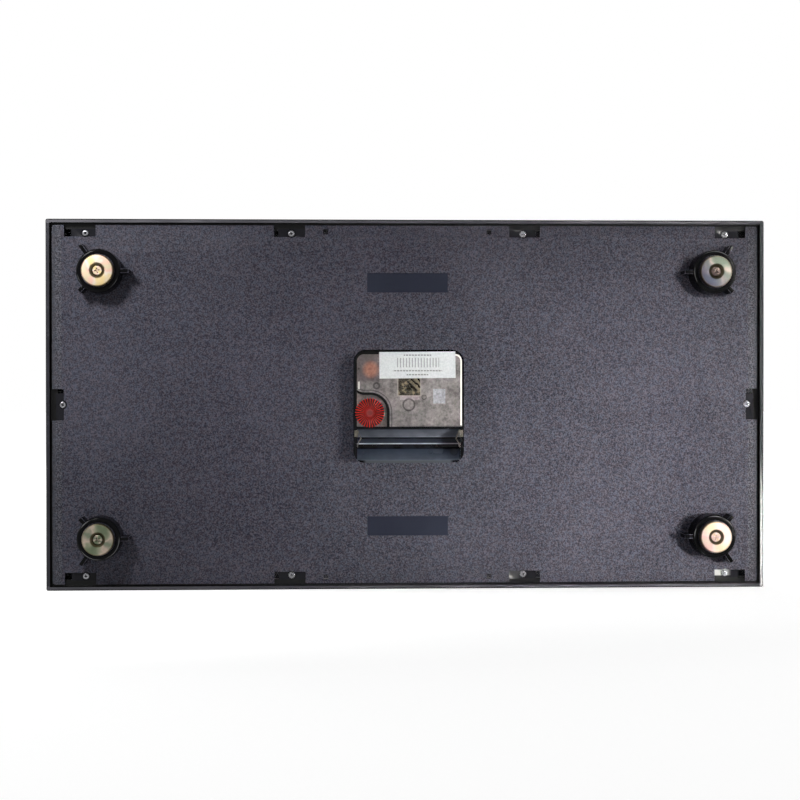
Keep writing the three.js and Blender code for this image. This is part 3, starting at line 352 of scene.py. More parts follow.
def panel_finish():
    """Spark-textured charcoal plastic: smooth bare plates, faint ring marks, glossy tabs painted
    with shade.
    """
    finish = Finish(
        "panel_spark_texture", linear(75, 75, 85), 0.55,
        Specular_IOR_Level=0.09, Coat_Roughness=0.3,
    )
    x, y, z = finish.axes()
    fine = finish.noise(0.62 * MM, 2, 0.6)
    coarse = finish.noise(1.8 * MM, 3)
    cloud = finish.noise(50 * MM)
    tint = finish.noise(1.6 * MM, 1)
    grain = fine * 0.85 + coarse * 0.15
    tone = grain.smooth(0.34, 0.66) * 0.85 + cloud.spread() * 0.15
    plate = outside(x, abs(z), PLATE).inside(0.2 * MM)
    # The sunk screw tabs and all that lies deeper are smooth, painted dark with their pockets'
    # shade
    tab = y.smooth(BORDER_REAR - 0.6 * MM, BORDER_REAR - 0.3 * MM, 1, 0)
    bare = plate.most(tab)
    bluish = finish.mix(tone, linear(31, 32, 42), linear(85, 87, 100))
    pinkish = finish.mix(tone, linear(37, 34, 42), linear(92, 88, 98))
    # The lowered border at both ends is greyer, with a rough line where it begins
    border = abs(x).smooth(176.6 * MM, 177.2 * MM)
    rough = border * abs(x).smooth(179.6 * MM, 180.2 * MM, 1, 0)
    textured = finish.layers(
        finish.mix(tint.smooth(0.35, 0.65), bluish, pinkish),
        (border * 0.25, linear(80, 83, 83)),
        (rough * fine.smooth(0.53, 0.6) * 0.4, linear(116, 116, 124)),
        (rough * fine.smooth(0.4, 0.47, 1, 0) * 0.5, linear(30, 29, 38)),
    )
    smooth = finish.mix(cloud.spread(), linear(38, 41, 53), linear(46, 50, 63))
    # Painted highlight: the tab at the lower right is painted pale at its inner end, and is
    # glossier there
    below = (z < -80 * MM) * z.smooth(-89.3 * MM, -88.7 * MM)
    beside = (x < -120 * MM) * x.smooth(-168.6 * MM, -165.4 * MM)
    lit = below * beside * (y < BORDER_REAR)
    tab_shade_and_highlight = finish.mix(cloud.spread(), linear(20, 20, 25), linear(29, 29, 34))
    tab_shade_and_highlight = finish.mix(lit * cloud.spread(0.8, 1), tab_shade_and_highlight, linear(150, 151, 148))
    finish.set("Base Color", finish.mix(bare, textured, finish.mix(tab, smooth, tab_shade_and_highlight)))
    finish.set("Roughness", 0.52 - bare * 0.3)
    finish.set("Coat Weight", tab * lit * cloud.spread(0.15, 0.25))
    away = apart(abs(x) - RING_PLACE[0], abs(z) - RING_PLACE[1])
    ring = away.line(RING_RADIUS, 0.1 * MM, 0.4 * MM)
    finish.bump(grain * (1 - bare) * 0.8 - plate * 1.2 - ring * 0.8, 0.2 * MM)
    return finish


def zinc_finish():
    """Yellow zinc plating: painted sheen from turned marks, painted reflections, countersink
    painted dark.
    """
    finish = Finish("zinc_plate_iridescent", linear(214, 200, 160), 0.28, Metallic=1.0)
    x, y, z = finish.axes()
    bands = finish.noise(7 * MM)
    marks = finish.noise(0.5 * MM, 3)
    # Every ring is measured from its own axis
    from_x, from_z = abs(x) - MAGNET_PLACE[0], abs(z) - MAGNET_PLACE[1]
    radius = apart(from_x, from_z)
    sheen_sectors = (from_z.angle_over(from_x) * 2 + bands * 5).sine() * 0.5 + 0.5
    pink_stops = [
        (0.0, linear(198, 180, 132)), (0.35, linear(194, 190, 180)),
        (0.65, linear(202, 162, 154)), (1.0, linear(184, 178, 154)),
    ]
    green_stops = [
        (0.0, linear(82, 90, 72)), (0.35, linear(112, 114, 96)),
        (0.65, linear(148, 134, 122)), (1.0, linear(92, 98, 84)),
    ]
    pink = finish.node("ShaderNodeValToRGB", {"stops": pink_stops}, {0: sheen_sectors})
    green = finish.node("ShaderNodeValToRGB", {"stops": green_stops}, {0: sheen_sectors})
    # Painted reflection: two opposite corners are painted in darker, more green tones than the
    # others.
    # At the right, seen from behind, they are painted deeper, bluish toward the panel's middle,
    # dark on the screw
    dim_reflection_corners = (x * z) < 0
    right = x < 0
    inner = (from_x + from_z).smooth(-9 * MM, 5 * MM, 0.9, 0.38)
    screw = radius.smooth(2.4 * MM, 2.7 * MM, 1, 0)
    broken_edge = radius.smooth(7.3 * MM, 7.7 * MM)
    sink = radius.smooth(3.6 * MM, 3.95 * MM, 1, 0) * radius.smooth(2.2 * MM, 2.6 * MM)
    finish.set("Base Color", finish.layers(
        finish.mix(dim_reflection_corners, pink, green),
        (right * dim_reflection_corners * inner, linear(50, 52, 68)),
        (right * dim_reflection_corners * screw * 0.6, linear(64, 42, 38)),
        # Painted reflection: the lower right ring is painted darker, and the upper left one warmer
        (right * (z < 0) * 0.72, linear(124, 104, 102)),
        ((x > 0) * (z > 0) * 0.35, linear(136, 108, 72)),
        (broken_edge * 0.7, linear(78, 68, 50)),
        # Painted shade in the countersink
        (sink * 0.8, linear(66, 58, 38)),
    ))
    finish.set("Roughness", marks.spread(0.4, 0.52))
    finish.bump(marks, 0.006 * MM)
    return finish


def cover_finish():
    """Smoked clear plastic, hazy but for a clearer window over the chip and over the coil's end."""
    finish = Finish(
        "cover_smoked_clear", linear(150, 142, 140), 0.12, Alpha=0.8, Specular_IOR_Level=0.12,
    )
    x, y, z = finish.axes()
    haze = finish.noise(6 * MM, 4)
    speck = finish.noise(1.3 * MM, 3, 0.65)
    blotch = finish.noise(3.2 * MM, 3, 0.6)
    tone = haze.smooth(0.32, 0.68) * 0.5 + speck.smooth(0.32, 0.68) * 0.5

    window = outside(x, z, CHIP_WINDOW)
    clear = window.inside(0.2 * MM)
    border = window.line(0.2 * MM, 0.1 * MM, 0.4 * MM)
    strip = outside(x, z, PALE_STRIP).smooth(-0.3 * MM, 0.4 * MM, 1, 0)
    square = outside(x, z, PALE_SQUARE).smooth(-0.1 * MM, 0.3 * MM, 0.75, 0)
    # Painted glint on the cover's left edge
    glint = outside(x, z, SIDE_GLINT).smooth(0, 0.2 * MM, 1, 0)
    (coil_x, coil_z), (coil_wide, coil_high) = COIL_END
    coil = apart((x - coil_x) / coil_wide, (z - coil_z) / coil_high).smooth(0.5, 1.4, 1, 0)
    # Painted shade round the knob's well: an arc, then straight down past its middle and out over
    # its top
    flare = (x - 22.5 * MM).most(0)
    over_x = (WELL_MIDDLE[0] - x).most(0)
    over_z = (z - WELL_MIDDLE[1] - flare * flare * 80).most(0)
    reach = apart(over_x, over_z)
    wall = reach.line(9.4 * MM, 0.5 * MM, 0.8 * MM)
    step = reach.line(11.1 * MM, 0.1 * MM, 0.4 * MM)
    # The cover's rounded top corners: painted dark outside, as the case's black rim and its shade,
    # and a painted highlight on the bevel down the right side
    left = apart((x - 22.7 * MM).most(0), (z - 21.9 * MM).most(0))
    right = apart((-23.46 * MM - x).most(0), (z - 22.2 * MM).most(0))
    corners = left.smooth(3.5 * MM, 3.7 * MM).most(right.smooth(3.6 * MM, 3.8 * MM))
    bevel = right.line(3.05 * MM, 0.3 * MM, 0.5 * MM) * (z > -10.5 * MM) * (x < -21.5 * MM)
    dark = wall.most(step * 0.6).most(corners)
    for ring_x, ring_z, radius, wide in COVER_RINGS:
        ring = apart(x - ring_x, z - ring_z).line(radius, wide * 0.4, wide)
        dark = dark.most(ring * 0.6)

    body = finish.mix(tone, linear(103, 99, 99), linear(152, 146, 146))
    warm = finish.mix(tone, linear(146, 92, 74), linear(184, 130, 108))
    pale = finish.mix(tone, linear(160, 146, 152), linear(204, 190, 196))
    mark = finish.mix(speck.spread(), linear(142, 146, 154), linear(176, 180, 188))
    # Through the window shows brown laminate, crossed by dark veins on its left
    veins = ((x - z) * 2000 + blotch * 9).sine()
    brown = finish.mix(blotch.smooth(0.36, 0.64), linear(54, 46, 38), linear(142, 132, 112))
    deep = veins.smooth(0.0, 0.6) * x.smooth(-1 * MM, 2 * MM, 1, 0.1)
    seen = finish.mix(deep * z.smooth(6.5 * MM, 8.5 * MM), brown, linear(6, 5, 5))
    dim = x.smooth(8 * MM, 20 * MM) * z.smooth(8 * MM, 14 * MM) * 0.6
    finish.set("Base Color", finish.layers(
        body,
        (dim, linear(56, 46, 50)),
        (coil * 0.8, warm),
        (strip * 0.7, pale),
        (square, mark),
        (clear, seen),
        (border * 0.5, linear(186, 176, 168)),
        # Painted shade lines and real dark rings, then painted highlights on the bevel and the left
        # edge
        (dark, linear(3, 3, 4)),
        (bevel.most(glint * 0.7), linear(246, 243, 236)),
    ))
    opaque = 0.84 - clear * 0.2 + tone * 0.12 + dark * 0.3 + bevel + glint
    finish.set("Alpha", opaque.least(1))
    finish.set("Roughness", haze.spread(0.1, 0.2))
    finish.bump(speck - dark * 0.5, 0.03 * MM)
    return finish


def case_finish():
    """Gloss black moulding, with painted light and shade in the cell's bay and on its bottom rim.
    """
    finish = Finish("case_gloss_black", linear(14, 16, 22), 0.16, Specular_IOR_Level=0.1)
    x, y, z = finish.axes()
    flow = finish.noise(6 * MM, 3)
    bay = outside(x, z, CELL_BAY).inside(0.1 * MM) * y.smooth(-3.4 * MM, -2.8 * MM, 1, 0)
    # Painted light and shade up the bay: its lit curved wall, a shaded groove, a painted highlight
    # on the ridge, the bed, a shaded groove and the lit slope
    stops = [
        (0.0, linear(74, 80, 92)), (0.2, linear(58, 65, 78)), (0.33, linear(46, 51, 63)),
        (0.36, linear(6, 6, 8)), (0.495, linear(5, 5, 7)), (0.505, linear(206, 208, 214)),
        (0.525, linear(206, 208, 214)), (0.54, linear(38, 42, 54)), (0.655, linear(34, 38, 50)),
        (0.67, linear(12, 13, 19)), (0.72, linear(14, 15, 22)), (0.735, linear(146, 151, 162)),
        (0.96, linear(114, 120, 132)), (1.0, linear(8, 8, 10)),
    ]
    up = (z - BAY_LOW) / (BAY_HIGH - BAY_LOW)
    plain = finish.mix(flow.spread(), linear(6, 7, 10), linear(12, 13, 18))
    bay_light_and_shade = finish.layers(
        finish.node("ShaderNodeValToRGB", {"stops": stops}, {0: up}),
        (flow.spread() * 0.3, linear(40, 44, 54)),
        # Painted shade: the slope is painted darker to the left
        (x.smooth(-22 * MM, 26 * MM) * (z > -16.8 * MM) * 0.55, linear(38, 44, 52)),
    )
    # Painted highlight along the middle of the bottom rim
    rim = (z - BAY_LOW).inside(0.1 * MM) * y.smooth(-10.5 * MM, -8.5 * MM)
    rim = rim * abs(x).smooth(21 * MM, 23.5 * MM, 1, 0)
    finish.set("Base Color", finish.layers(plain, (bay, bay_light_and_shade), (rim, linear(172, 178, 190))))
    finish.set("Roughness", flow.spread(0.12, 0.22))
    finish.bump(finish.noise(0.4 * MM), 0.004 * MM)
    return finish


def frame_finish():
    """Charcoal moulding: painted shade inside its wall, a black outer edge, painted light on its
    rim.
    """
    finish = Finish(
        "frame_satin_black", linear(44, 44, 50), 0.32,
        Specular_IOR_Level=0.15, Coat_Roughness=0.06,
    )
    x, y, z = finish.axes()
    flow = finish.noise(20 * MM, 3)
    scuffs_and_sheen = finish.noise(1.4 * MM, 4, 0.65)
    # Painted shade inside the frame's wall; its outer edge is black too
    hollow = outside(x, z, FRAME_INSIDE).smooth(-0.2 * MM, 0, 1, 0)
    hollow = hollow * y.smooth(-32.5 * MM, -32 * MM)
    corner = outside(x, z, FRAME_CORNER).smooth(-0.1 * MM, 0.1 * MM)
    corner = corner * y.smooth(-15.4 * MM, -15.1 * MM)
    rim = y.smooth(-14.7 * MM, -14.6 * MM) * (1 - corner)
    # Painted light on the rim: lighter along the top and bottom, darker down the right side. At the
    # lower right, where its coat is glossiest, it carries a painted reflection, and it is duller
    # above it
    right = x < -FRAME_SIDE[0]
    low_right = z.smooth(-55 * MM, -25 * MM, 1, 0) * right
    satin = finish.mix(flow.spread(), linear(34, 34, 40), linear(46, 46, 53))
    across = finish.mix(flow.spread(), linear(80, 79, 85), linear(99, 98, 104))
    finish.set("Base Color", finish.layers(
        satin,
        (rim * (z > FRAME_SIDE[1]), across),
        (rim * (z < -FRAME_SIDE[1]) * 0.7, across),
        (right * 0.5, linear(14, 14, 18)),
        (scuffs_and_sheen.smooth(0.56, 0.7) * 0.5, linear(78, 78, 84)),
        (rim * low_right * scuffs_and_sheen.smooth(0.3, 0.6, 1, 0.7), linear(206, 204, 201)),
        (hollow.most(corner), linear(5, 5, 6)),
    ))
    finish.set("Coat Weight", rim * low_right * scuffs_and_sheen.smooth(0.35, 0.65, 0.3, 0.1))
    finish.set("Roughness", scuffs_and_sheen.spread(0.28, 0.42))
    finish.bump(finish.noise(0.3 * MM), 0.01 * MM)
    return finish


def lens_finish():
    """Clear sheet with a little dust."""
    clear = (0.3, 0.32, 0.33, 1)
    finish = Finish("lens_clear", clear, 0.03, Alpha=0.07, Specular_IOR_Level=0.5)
    finish.set("Roughness", finish.noise(10 * MM, 3).spread(0.02, 0.06))
    return finish


def label_finish():
    """White label stock with plain grey bars that say nothing."""
    finish = Finish("label_paper_white", linear(226, 229, 230), 0.6)
    x, y, z = finish.axes()
    across = abs(x - LABEL_MIDDLE[0])
    lines = 0
    for up, half in LABEL_BARS:
        bar = (abs(z - (LABEL_MIDDLE[1] + up)) < 0.32 * MM) * (across < half)
        lines = lines + bar * ((x % LABEL_PITCH) > 0.35 * MM)
    block = (abs(z - (LABEL_MIDDLE[1] + 1.2 * MM)) < 2.4 * MM) * (across < 11 * MM)
    stripes = (x % LABEL_PITCH) > 0.95 * MM
    ink = lines * 0.7 + block * stripes * 0.55
    paper = finish.noise(0.8 * MM, 3)
    white = finish.mix(paper.spread(), linear(196, 200, 203), linear(212, 215, 217))
    finish.set("Base Color", finish.mix(ink, white, linear(70, 72, 74)))
    finish.bump(paper, 0.01 * MM)
    return finish


def winding_finish():
    """Enamelled copper wire, seen as fine turns along the coil."""
    finish = Finish("copper_wire_turns", linear(205, 120, 74), 0.32, Metallic=0.9)
    x, y, z = finish.axes()
    shade = finish.noise(2 * MM)
    copper = finish.mix(shade.spread(), linear(170, 88, 50), linear(222, 140, 92))
    finish.set("Base Color", copper)
    finish.bump((x * (TURN / WIRE_PITCH)).sine(), 0.06 * MM, 0.8)
    return finish


def board_finish():
    """Brown laminate with tinned tracks."""
    finish = Finish("board_laminate", linear(112, 78, 44), 0.5)
    weave = finish.noise(0.4 * MM)
    cells = finish.node(
        "ShaderNodeTexVoronoi", {"feature": "DISTANCE_TO_EDGE"},
        {"Vector": finish.place(), "Scale": 260},
    )
    track = cells.smooth(0.03, 0.07, 1, 0)
    laminate = finish.mix(weave.spread(), linear(94, 62, 34), linear(128, 92, 54))
    finish.set("Base Color", finish.mix(track * 0.7, laminate, linear(190, 180, 150)))
    finish.set("Metallic", track * 0.6)
    finish.bump(track, 0.04 * MM)
    return finish


def knob_finish():
    """Red moulded plastic with fine radial serrations round a plainer middle."""
    finish = Finish("knob_red_moulded", linear(178, 26, 16), 0.38, Specular_IOR_Level=0.25)
    x, y, z = finish.axes()
    flow = finish.noise(4 * MM, 3)
    from_x, from_z = x - KNOB_AXIS[0], z - KNOB_AXIS[1]
    ridge = (from_z.angle_over(from_x) * KNOB_RIBS - math.pi / 4).cosine() * 0.5 + 0.5
    ribbed = apart(from_x, from_z).smooth(1 * MM, 2.6 * MM)
    groove = (1 - ridge) * ribbed
    red = finish.mix(flow.spread(), linear(190, 22, 15), linear(222, 42, 31))
    middle = finish.mix(flow.spread(), linear(116, 44, 42), linear(134, 60, 58))
    # Painted shade in the grooves between the ribs
    finish.set("Base Color", finish.layers(
        middle, (ribbed, red), (groove.smooth(0.15, 0.45), linear(16, 1, 1)),
    ))
    finish.set("Roughness", flow.spread(0.3, 0.45))
    finish.bump(ridge * ribbed, 0.3 * MM, 0.8)
    return finish


def post_finish():
    """Gloss black skin of the posts, with a broken painted glint along their rounded rims."""
    black = linear(5, 5, 7)
    finish = moulded("post_gloss_black", black, 0.16, depth=0.004 * MM, Specular_IOR_Level=0.06)
    x, y, z = finish.axes()
    radius = apart(abs(x) - MAGNET_PLACE[0], abs(z) - MAGNET_PLACE[1])
    broken = finish.noise(12 * MM, 1).smooth(0.46, 0.6)
    # Painted glint where the rounded rim catches the light
    glint = radius.line(10.4 * MM, 0.1 * MM, 0.3 * MM) * y.smooth(-6 * MM, -5 * MM) * broken
    finish.set("Base Color", finish.mix(glint * 0.7, black, linear(120, 120, 122)))
    return finish


def dial_finish():
    """White painted sheet, faintly uneven."""
    finish = Finish("dial_white_print", linear(244, 243, 238), 0.55)
    paper = finish.noise(0.6 * MM, 3)
    cloud = finish.noise(60 * MM)
    white = finish.mix(cloud.spread(), linear(238, 237, 231), linear(248, 247, 243))
    finish.set("Base Color", white)
    finish.bump(paper, 0.008 * MM)
    return finish


finishes = {
    "panel": panel_finish(),
    "zinc": zinc_finish(),
    "cover": cover_finish(),
    "lens": lens_finish(),
    "label": label_finish(),
    "winding": winding_finish(),
    "board": board_finish(),
    "knob": knob_finish(),
    "dial": dial_finish(),
    "frame": frame_finish(),
    "case": case_finish(),
    "post": post_finish(),
    "nylon": moulded("wheel_natural_nylon", linear(222, 216, 196), 0.45, Subsurface_Weight=0.1),
    "bobbin": moulded("bobbin_ivory", linear(206, 196, 168), 0.5),
    "epoxy": moulded("chip_epoxy", linear(16, 16, 18), 0.3),
    "steel": metal("screw_bright_steel", linear(150, 150, 154), 0.26),
    "iron": metal("stator_iron", linear(150, 148, 144), 0.38),
    "spring": metal("contact_spring_steel", linear(112, 108, 100), 0.26, stretch=(1, 0.1, 1)),
    "can": metal("crystal_can_tin", linear(188, 188, 186), 0.3),
    "brass": metal("brass_turned", linear(196, 158, 84), 0.3),
    "black_paint": moulded("hand_black_paint", linear(14, 14, 16), 0.35),
    "red_paint": moulded("hand_red_paint", linear(176, 22, 18), 0.35),
    "numeral": moulded("dial_black_print", linear(22, 22, 24), 0.5),
}

NODE_FINISHES = {
    "front_frame": "frame", "lens": "lens", "dial_plate": "dial", "back_panel": "panel",
    "movement_case": "case", "movement_cover": "cover", "movement_label": "label",
    "set_knob": "knob", "mounting_nut": "brass", "dial_washer": "steel",
    "battery_contact_positive": "spring", "battery_contact_negative": "spring",
    "coil_bobbin": "bobbin", "coil_winding": "winding", "stator": "iron", "rotor": "iron",
    "circuit_board": "board", "ic_chip": "epoxy", "crystal_can": "can",
    "intermediate_wheel": "nylon", "seconds_wheel": "nylon", "third_wheel": "nylon",
    "motion_wheel": "nylon", "hour_wheel": "nylon",
    "centre_wheel": "brass", "minute_pinion": "brass",
    "hour_hand": "black_paint", "minute_hand": "black_paint", "second_hand": "red_paint",
}
MAGNET_NUMBERS = range(1, 5)
PANEL_SCREW_NUMBERS = range(1, 11)
for number in PANEL_SCREW_NUMBERS:
    NODE_FINISHES[f"panel_screw_{number}"] = "steel"
for number in MAGNET_NUMBERS:
    NODE_FINISHES[f"magnet_{number}"] = "zinc"
    NODE_FINISHES[f"magnet_screw_{number}"] = "zinc"


def paint(piece, finish):
    """Gives a piece one material."""
    piece.data.materials.clear()
    piece.data.materials.append(finishes[finish].material)


for name, finish in NODE_FINISHES.items():
    paint(nodes[name], finish)


# Points closer than this become one, in a new piece and in a copy of a solid
WELD, CAD_WELD = 1e-7, 1e-6


def object_from(mesh, name, finish, smooth_angle):
    """Makes a painted object of a bmesh, smooth but for edges sharper than the angle."""
    data = bpy.data.meshes.new(name)
    mesh.to_mesh(data)
    mesh.free()
    data.polygons.foreach_set("use_smooth", [True] * len(data.polygons))
    data.set_sharp_from_angle(angle=math.radians(smooth_angle))
    piece = bpy.data.objects.new(name, data)
    bpy.context.scene.collection.objects.link(piece)
    paint(piece, finish)
    return piece


def piece_from(mesh, name, body, finish, replaced=(), smooth_angle=35):
    """Makes an object of a bmesh and puts it on its body."""
    bmesh.ops.remove_doubles(mesh, verts=mesh.verts, dist=WELD)
    bmesh.ops.recalc_face_normals(mesh, faces=mesh.faces)
    piece = object_from(mesh, name, finish, smooth_angle)
    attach(piece, body)
    if replaced:
        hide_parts(*replaced)
    return piece


def softened(node, width, segments):
    """A copy of a CAD node, with flat faces joined and edges rounded, in the node's place."""
    mesh = bmesh.new()
    mesh.from_mesh(nodes[node].data)
    bmesh.ops.remove_doubles(mesh, verts=mesh.verts, dist=CAD_WELD)
    flat = math.radians(0.5)
    bmesh.ops.dissolve_limit(mesh, angle_limit=flat, verts=mesh.verts, edges=mesh.edges)
    piece = object_from(mesh, f"{node}_soft", NODE_FINISHES[node], smooth_angle=40)
    edges = piece.modifiers.new("rounded_edges", "BEVEL")
    edges.width = width
    edges.segments = segments
    edges.limit_method = "ANGLE"
    edges.angle_limit = math.radians(30)
    edges.harden_normals = True
    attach(piece, nodes[node]["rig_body"])
    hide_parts(node)
    return piece


def turned(mesh, verts, angle, axis):
    """Turns vertices about an axis through the origin."""
    bmesh.ops.rotate(mesh, verts=verts, cent=(0, 0, 0), matrix=Matrix.Rotation(angle, 3, axis))


def only(kind, items):
    """The vertices or the edges among what an operator returned."""
    return [item for item in items if isinstance(item, kind)]


def lathe(points, steps, axis_x, axis_z):
    """A closed shape spun about a line along Y. Points are (radius, y) pairs."""
    mesh = bmesh.new()
    ring = [mesh.verts.new((radius, y, 0)) for radius, y in points]
    edges = [mesh.edges.new(pair) for pair in zip(ring, ring[1:])]
    bmesh.ops.spin(
        mesh, geom=ring + edges, cent=(0, 0, 0), axis=(0, 1, 0), dvec=(0, 0, 0),
        angle=TURN, steps=steps, use_merge=True, use_duplicate=False,
    )
    bmesh.ops.remove_doubles(mesh, verts=mesh.verts, dist=WELD)
    bmesh.ops.translate(mesh, verts=mesh.verts, vec=(axis_x, 0, axis_z))
    return mesh


def arc(centre, radius, start, end, steps):
    """Points of a rounded corner in a lathe profile, angles in degrees."""
    points = []
    for i in range(steps + 1):
        angle = math.radians(start + (end - start) * i / steps)
        points.append((centre[0] + radius * math.cos(angle), centre[1] + radius * math.sin(angle)))
    return points


MAGNET_RADIUS, MAGNET_EDGE, MAGNET_BORE = 8 * MM, 0.45 * MM, 2 * MM
# The countersink's mouth, its lip and where its cone meets the bore: radius and depth
COUNTERSINK = ((4.05 * MM, 0), (3.8 * MM, 0.2 * MM), (MAGNET_BORE, 2.4 * MM))
MAGNET_FACETS = 72


def magnet_ring(number):
    """Plated ring magnet with broken edges and a countersunk hole."""
    low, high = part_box(f"magnet_{number}")
    centre = (low + high) / 2
    flat = MAGNET_RADIUS - MAGNET_EDGE
    profile = [(MAGNET_BORE, low.y), (flat, low.y)]
    profile += arc((flat, low.y + MAGNET_EDGE), MAGNET_EDGE, -90, 0, 3)
    profile += arc((flat, high.y - MAGNET_EDGE), MAGNET_EDGE, 0, 90, 5)
    profile += [(radius, high.y - depth) for radius, depth in COUNTERSINK]
    profile.append((MAGNET_BORE, low.y))
    mesh = lathe(profile, MAGNET_FACETS, centre.x, centre.z)
    replaced = [f"magnet_{number}"]
    return piece_from(mesh, f"ring_magnet_{number}", "housing", "zinc", replaced)


# A screw's head radius and the rounding of its top, and the half span and depth of its recess
MAGNET_SCREW = {"head": 2.4 * MM, "crown": 0.25 * MM, "recess": 1.35 * MM, "depth": 0.9 * MM}
PANEL_SCREW = {"head": 1.7 * MM, "crown": 0.6 * MM, "recess": 0.85 * MM, "depth": 0.55 * MM}
SHANK_RADIUS = 1 * MM
TIP_SHARE = 0.15  # of the shank's radius
CONE_LIP, CONE_SLOPE = 0.15 * MM, 0.75
PAN_HEIGHT = 1.1 * MM
SCREW_FACETS = 48
# Half an arm's width is a share of its reach, a blunt inner corner is a multiple of that half
# width, and the recess's floor is a share of its mouth
ARM_SHARE, CORNER_SHARE, FLOOR_SHARE = 0.24, 1.3, 0.62
# Degrees by which the recesses are turned, which is by chance on the real ones
MAGNET_SCREW_TURNS = (12, 62, 35, 78)
PANEL_SCREW_TURN = 37


def cross_outline(arm):
    """The corners of a cross whose arms reach so far from its middle, in order round it."""
    half = arm * ARM_SHARE
    inner = half * CORNER_SHARE
    corners = []
    quarter = [(arm, half), (inner, inner), (half, arm)]
    for _ in range(4):
        corners += quarter
        quarter = [(-z, x) for x, z in quarter]
    return corners


def screw_levels(head, crown, tip, cone):
    """The radii and heights of a screw from its head's rounding down to its tip."""
    if cone:
        foot = (head - SHANK_RADIUS) * CONE_SLOPE + CONE_LIP
        levels = [(head, -CONE_LIP), (SHANK_RADIUS, -foot)]
    else:
        levels = []
        for i in range(1, 5):
            angle = math.radians(90 * i / 4)
            rounding = (crown * math.sin(angle), crown * (1 - math.cos(angle)))
            levels.append((head - crown + rounding[0], -rounding[1]))
        levels += [(head, -PAN_HEIGHT), (SHANK_RADIUS, -PAN_HEIGHT)]
    return levels + [(SHANK_RADIUS, tip + SHANK_RADIUS), (SHANK_RADIUS * TIP_SHARE, tip)]


def cross_head_screw(name, node, finish, slot, turn, head, crown, recess, depth, cone=False):
    """A screw with a real cross recess in its head, on the axis of its CAD node."""
    low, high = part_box(node)
    centre = (low + high) / 2
    mesh = bmesh.new()
    mouth = mesh.faces.new([mesh.verts.new((x, 0, z)) for x, z in cross_outline(recess)])
    bmesh.ops.subdivide_edges(mesh, edges=mouth.edges[:], cuts=3, use_grid_fill=False)
    mouth_edges, mouth_verts = mesh.edges[:], mesh.verts[:]
    radius = head - crown
    rim = bmesh.ops.create_circle(
        mesh, cap_ends=False, radius=radius, segments=SCREW_FACETS,
    )["verts"]
    turned(mesh, rim, math.radians(90), "X")
    rim_edges = [edge for edge in mesh.edges if edge not in mouth_edges]
    bmesh.ops.bridge_loops(mesh, edges=mouth_edges + rim_edges)
    # The recess goes down and narrows; its floor stays closed
    floor = [
        face for face in mesh.faces
        if len(face.verts) > 4 and all(vert in mouth_verts for vert in face.verts)
    ]
    sunk = only(bmesh.types.BMVert, bmesh.ops.extrude_face_region(mesh, geom=floor)["geom"])
    bmesh.ops.delete(mesh, geom=floor, context="FACES")
    bmesh.ops.scale(mesh, verts=sunk, vec=(FLOOR_SHARE, 1, FLOOR_SHARE))
    bmesh.ops.translate(mesh, verts=sunk, vec=(0, -depth, 0))
    # From the rim, each level is an extrusion of the one before it
    ring = [edge for edge in mesh.edges if edge.is_boundary]
    height = 0.0
    for next_radius, next_height in screw_levels(head, crown, low.y - high.y, cone):
        grown = bmesh.ops.extrude_edge_only(mesh, edges=ring)["geom"]
        verts, ring = only(bmesh.types.BMVert, grown), only(bmesh.types.BMEdge, grown)
        share = next_radius / radius
        bmesh.ops.scale(mesh, verts=verts, vec=(share, 1, share))
        bmesh.ops.translate(mesh, verts=verts, vec=(0, next_height - height, 0))
        radius, height = next_radius, next_height
    bmesh.ops.contextual_create(mesh, geom=ring)
    turned(mesh, mesh.verts, math.radians(turn), "Y")
    bmesh.ops.translate(mesh, verts=mesh.verts, vec=(centre.x, high.y, centre.z))
    return piece_from(mesh, name, "housing", finish, [node], smooth_angle=30)


SLEEVE_SKIN = 0.06 * MM  # how far a post's skin stands off the post in the panel
SLEEVE_RADIUS, SLEEVE_BASE = 11 * MM, 11.2 * MM
SLEEVE_ROUNDING, SLEEVE_LIP = 1.2 * MM, 0.35 * MM
SLEEVE_WELL, SLEEVE_WELL_DEPTH = 8.3 * MM, 0.95 * MM
SLEEVE_FOOT = PANEL_FIELD - 0.2 * MM
SLEEVE_FACETS = 96
# How far each fin reaches from the post's axis, and its turn in degrees from the one inwards
FINS = ((15.2 * MM, 0), (16.3 * MM, 125), (14.2 * MM, -133))
FIN_THICK, FIN_ROOT, FIN_ROUNDING = 2.2 * MM, 9.6 * MM, 0.5 * MM


def post_fin(mesh, reach, direction):
    """Adds one fin with rounded upper and outer edges to a post on the origin."""
    length, thick = reach - FIN_ROOT + SLEEVE_SKIN, FIN_THICK + 2 * SLEEVE_SKIN
    top = POST_REAR - SLEEVE_ROUNDING + SLEEVE_SKIN
    made = bmesh.ops.create_cube(mesh, size=1)["verts"]
    bmesh.ops.scale(mesh, verts=made, vec=(length, top - SLEEVE_FOOT, thick))
    middle = (FIN_ROOT + length / 2, (top + SLEEVE_FOOT) / 2, 0)
    bmesh.ops.translate(mesh, verts=made, vec=middle)
    # The edges round its top, and those that stand at its outer end
    rounded = []
    for edge in mesh.edges:
        ends = [vert.co for vert in edge.verts if vert in made]
        above = [end for end in ends if end.y > middle[1]]
        beyond = [end for end in ends if end.x > middle[0]]
        if len(above) == 2 or (len(beyond) == 2 and above):
            rounded.append(edge)
    bevel = bmesh.ops.bevel(
        mesh, geom=rounded, offset=FIN_ROUNDING, segments=4, affect="EDGES", profile=0.5,
        material=-1,
    )
    moved = [vert for vert in set(made) | set(bevel["verts"]) if vert.is_valid]
    turned(mesh, moved, -direction, "Y")


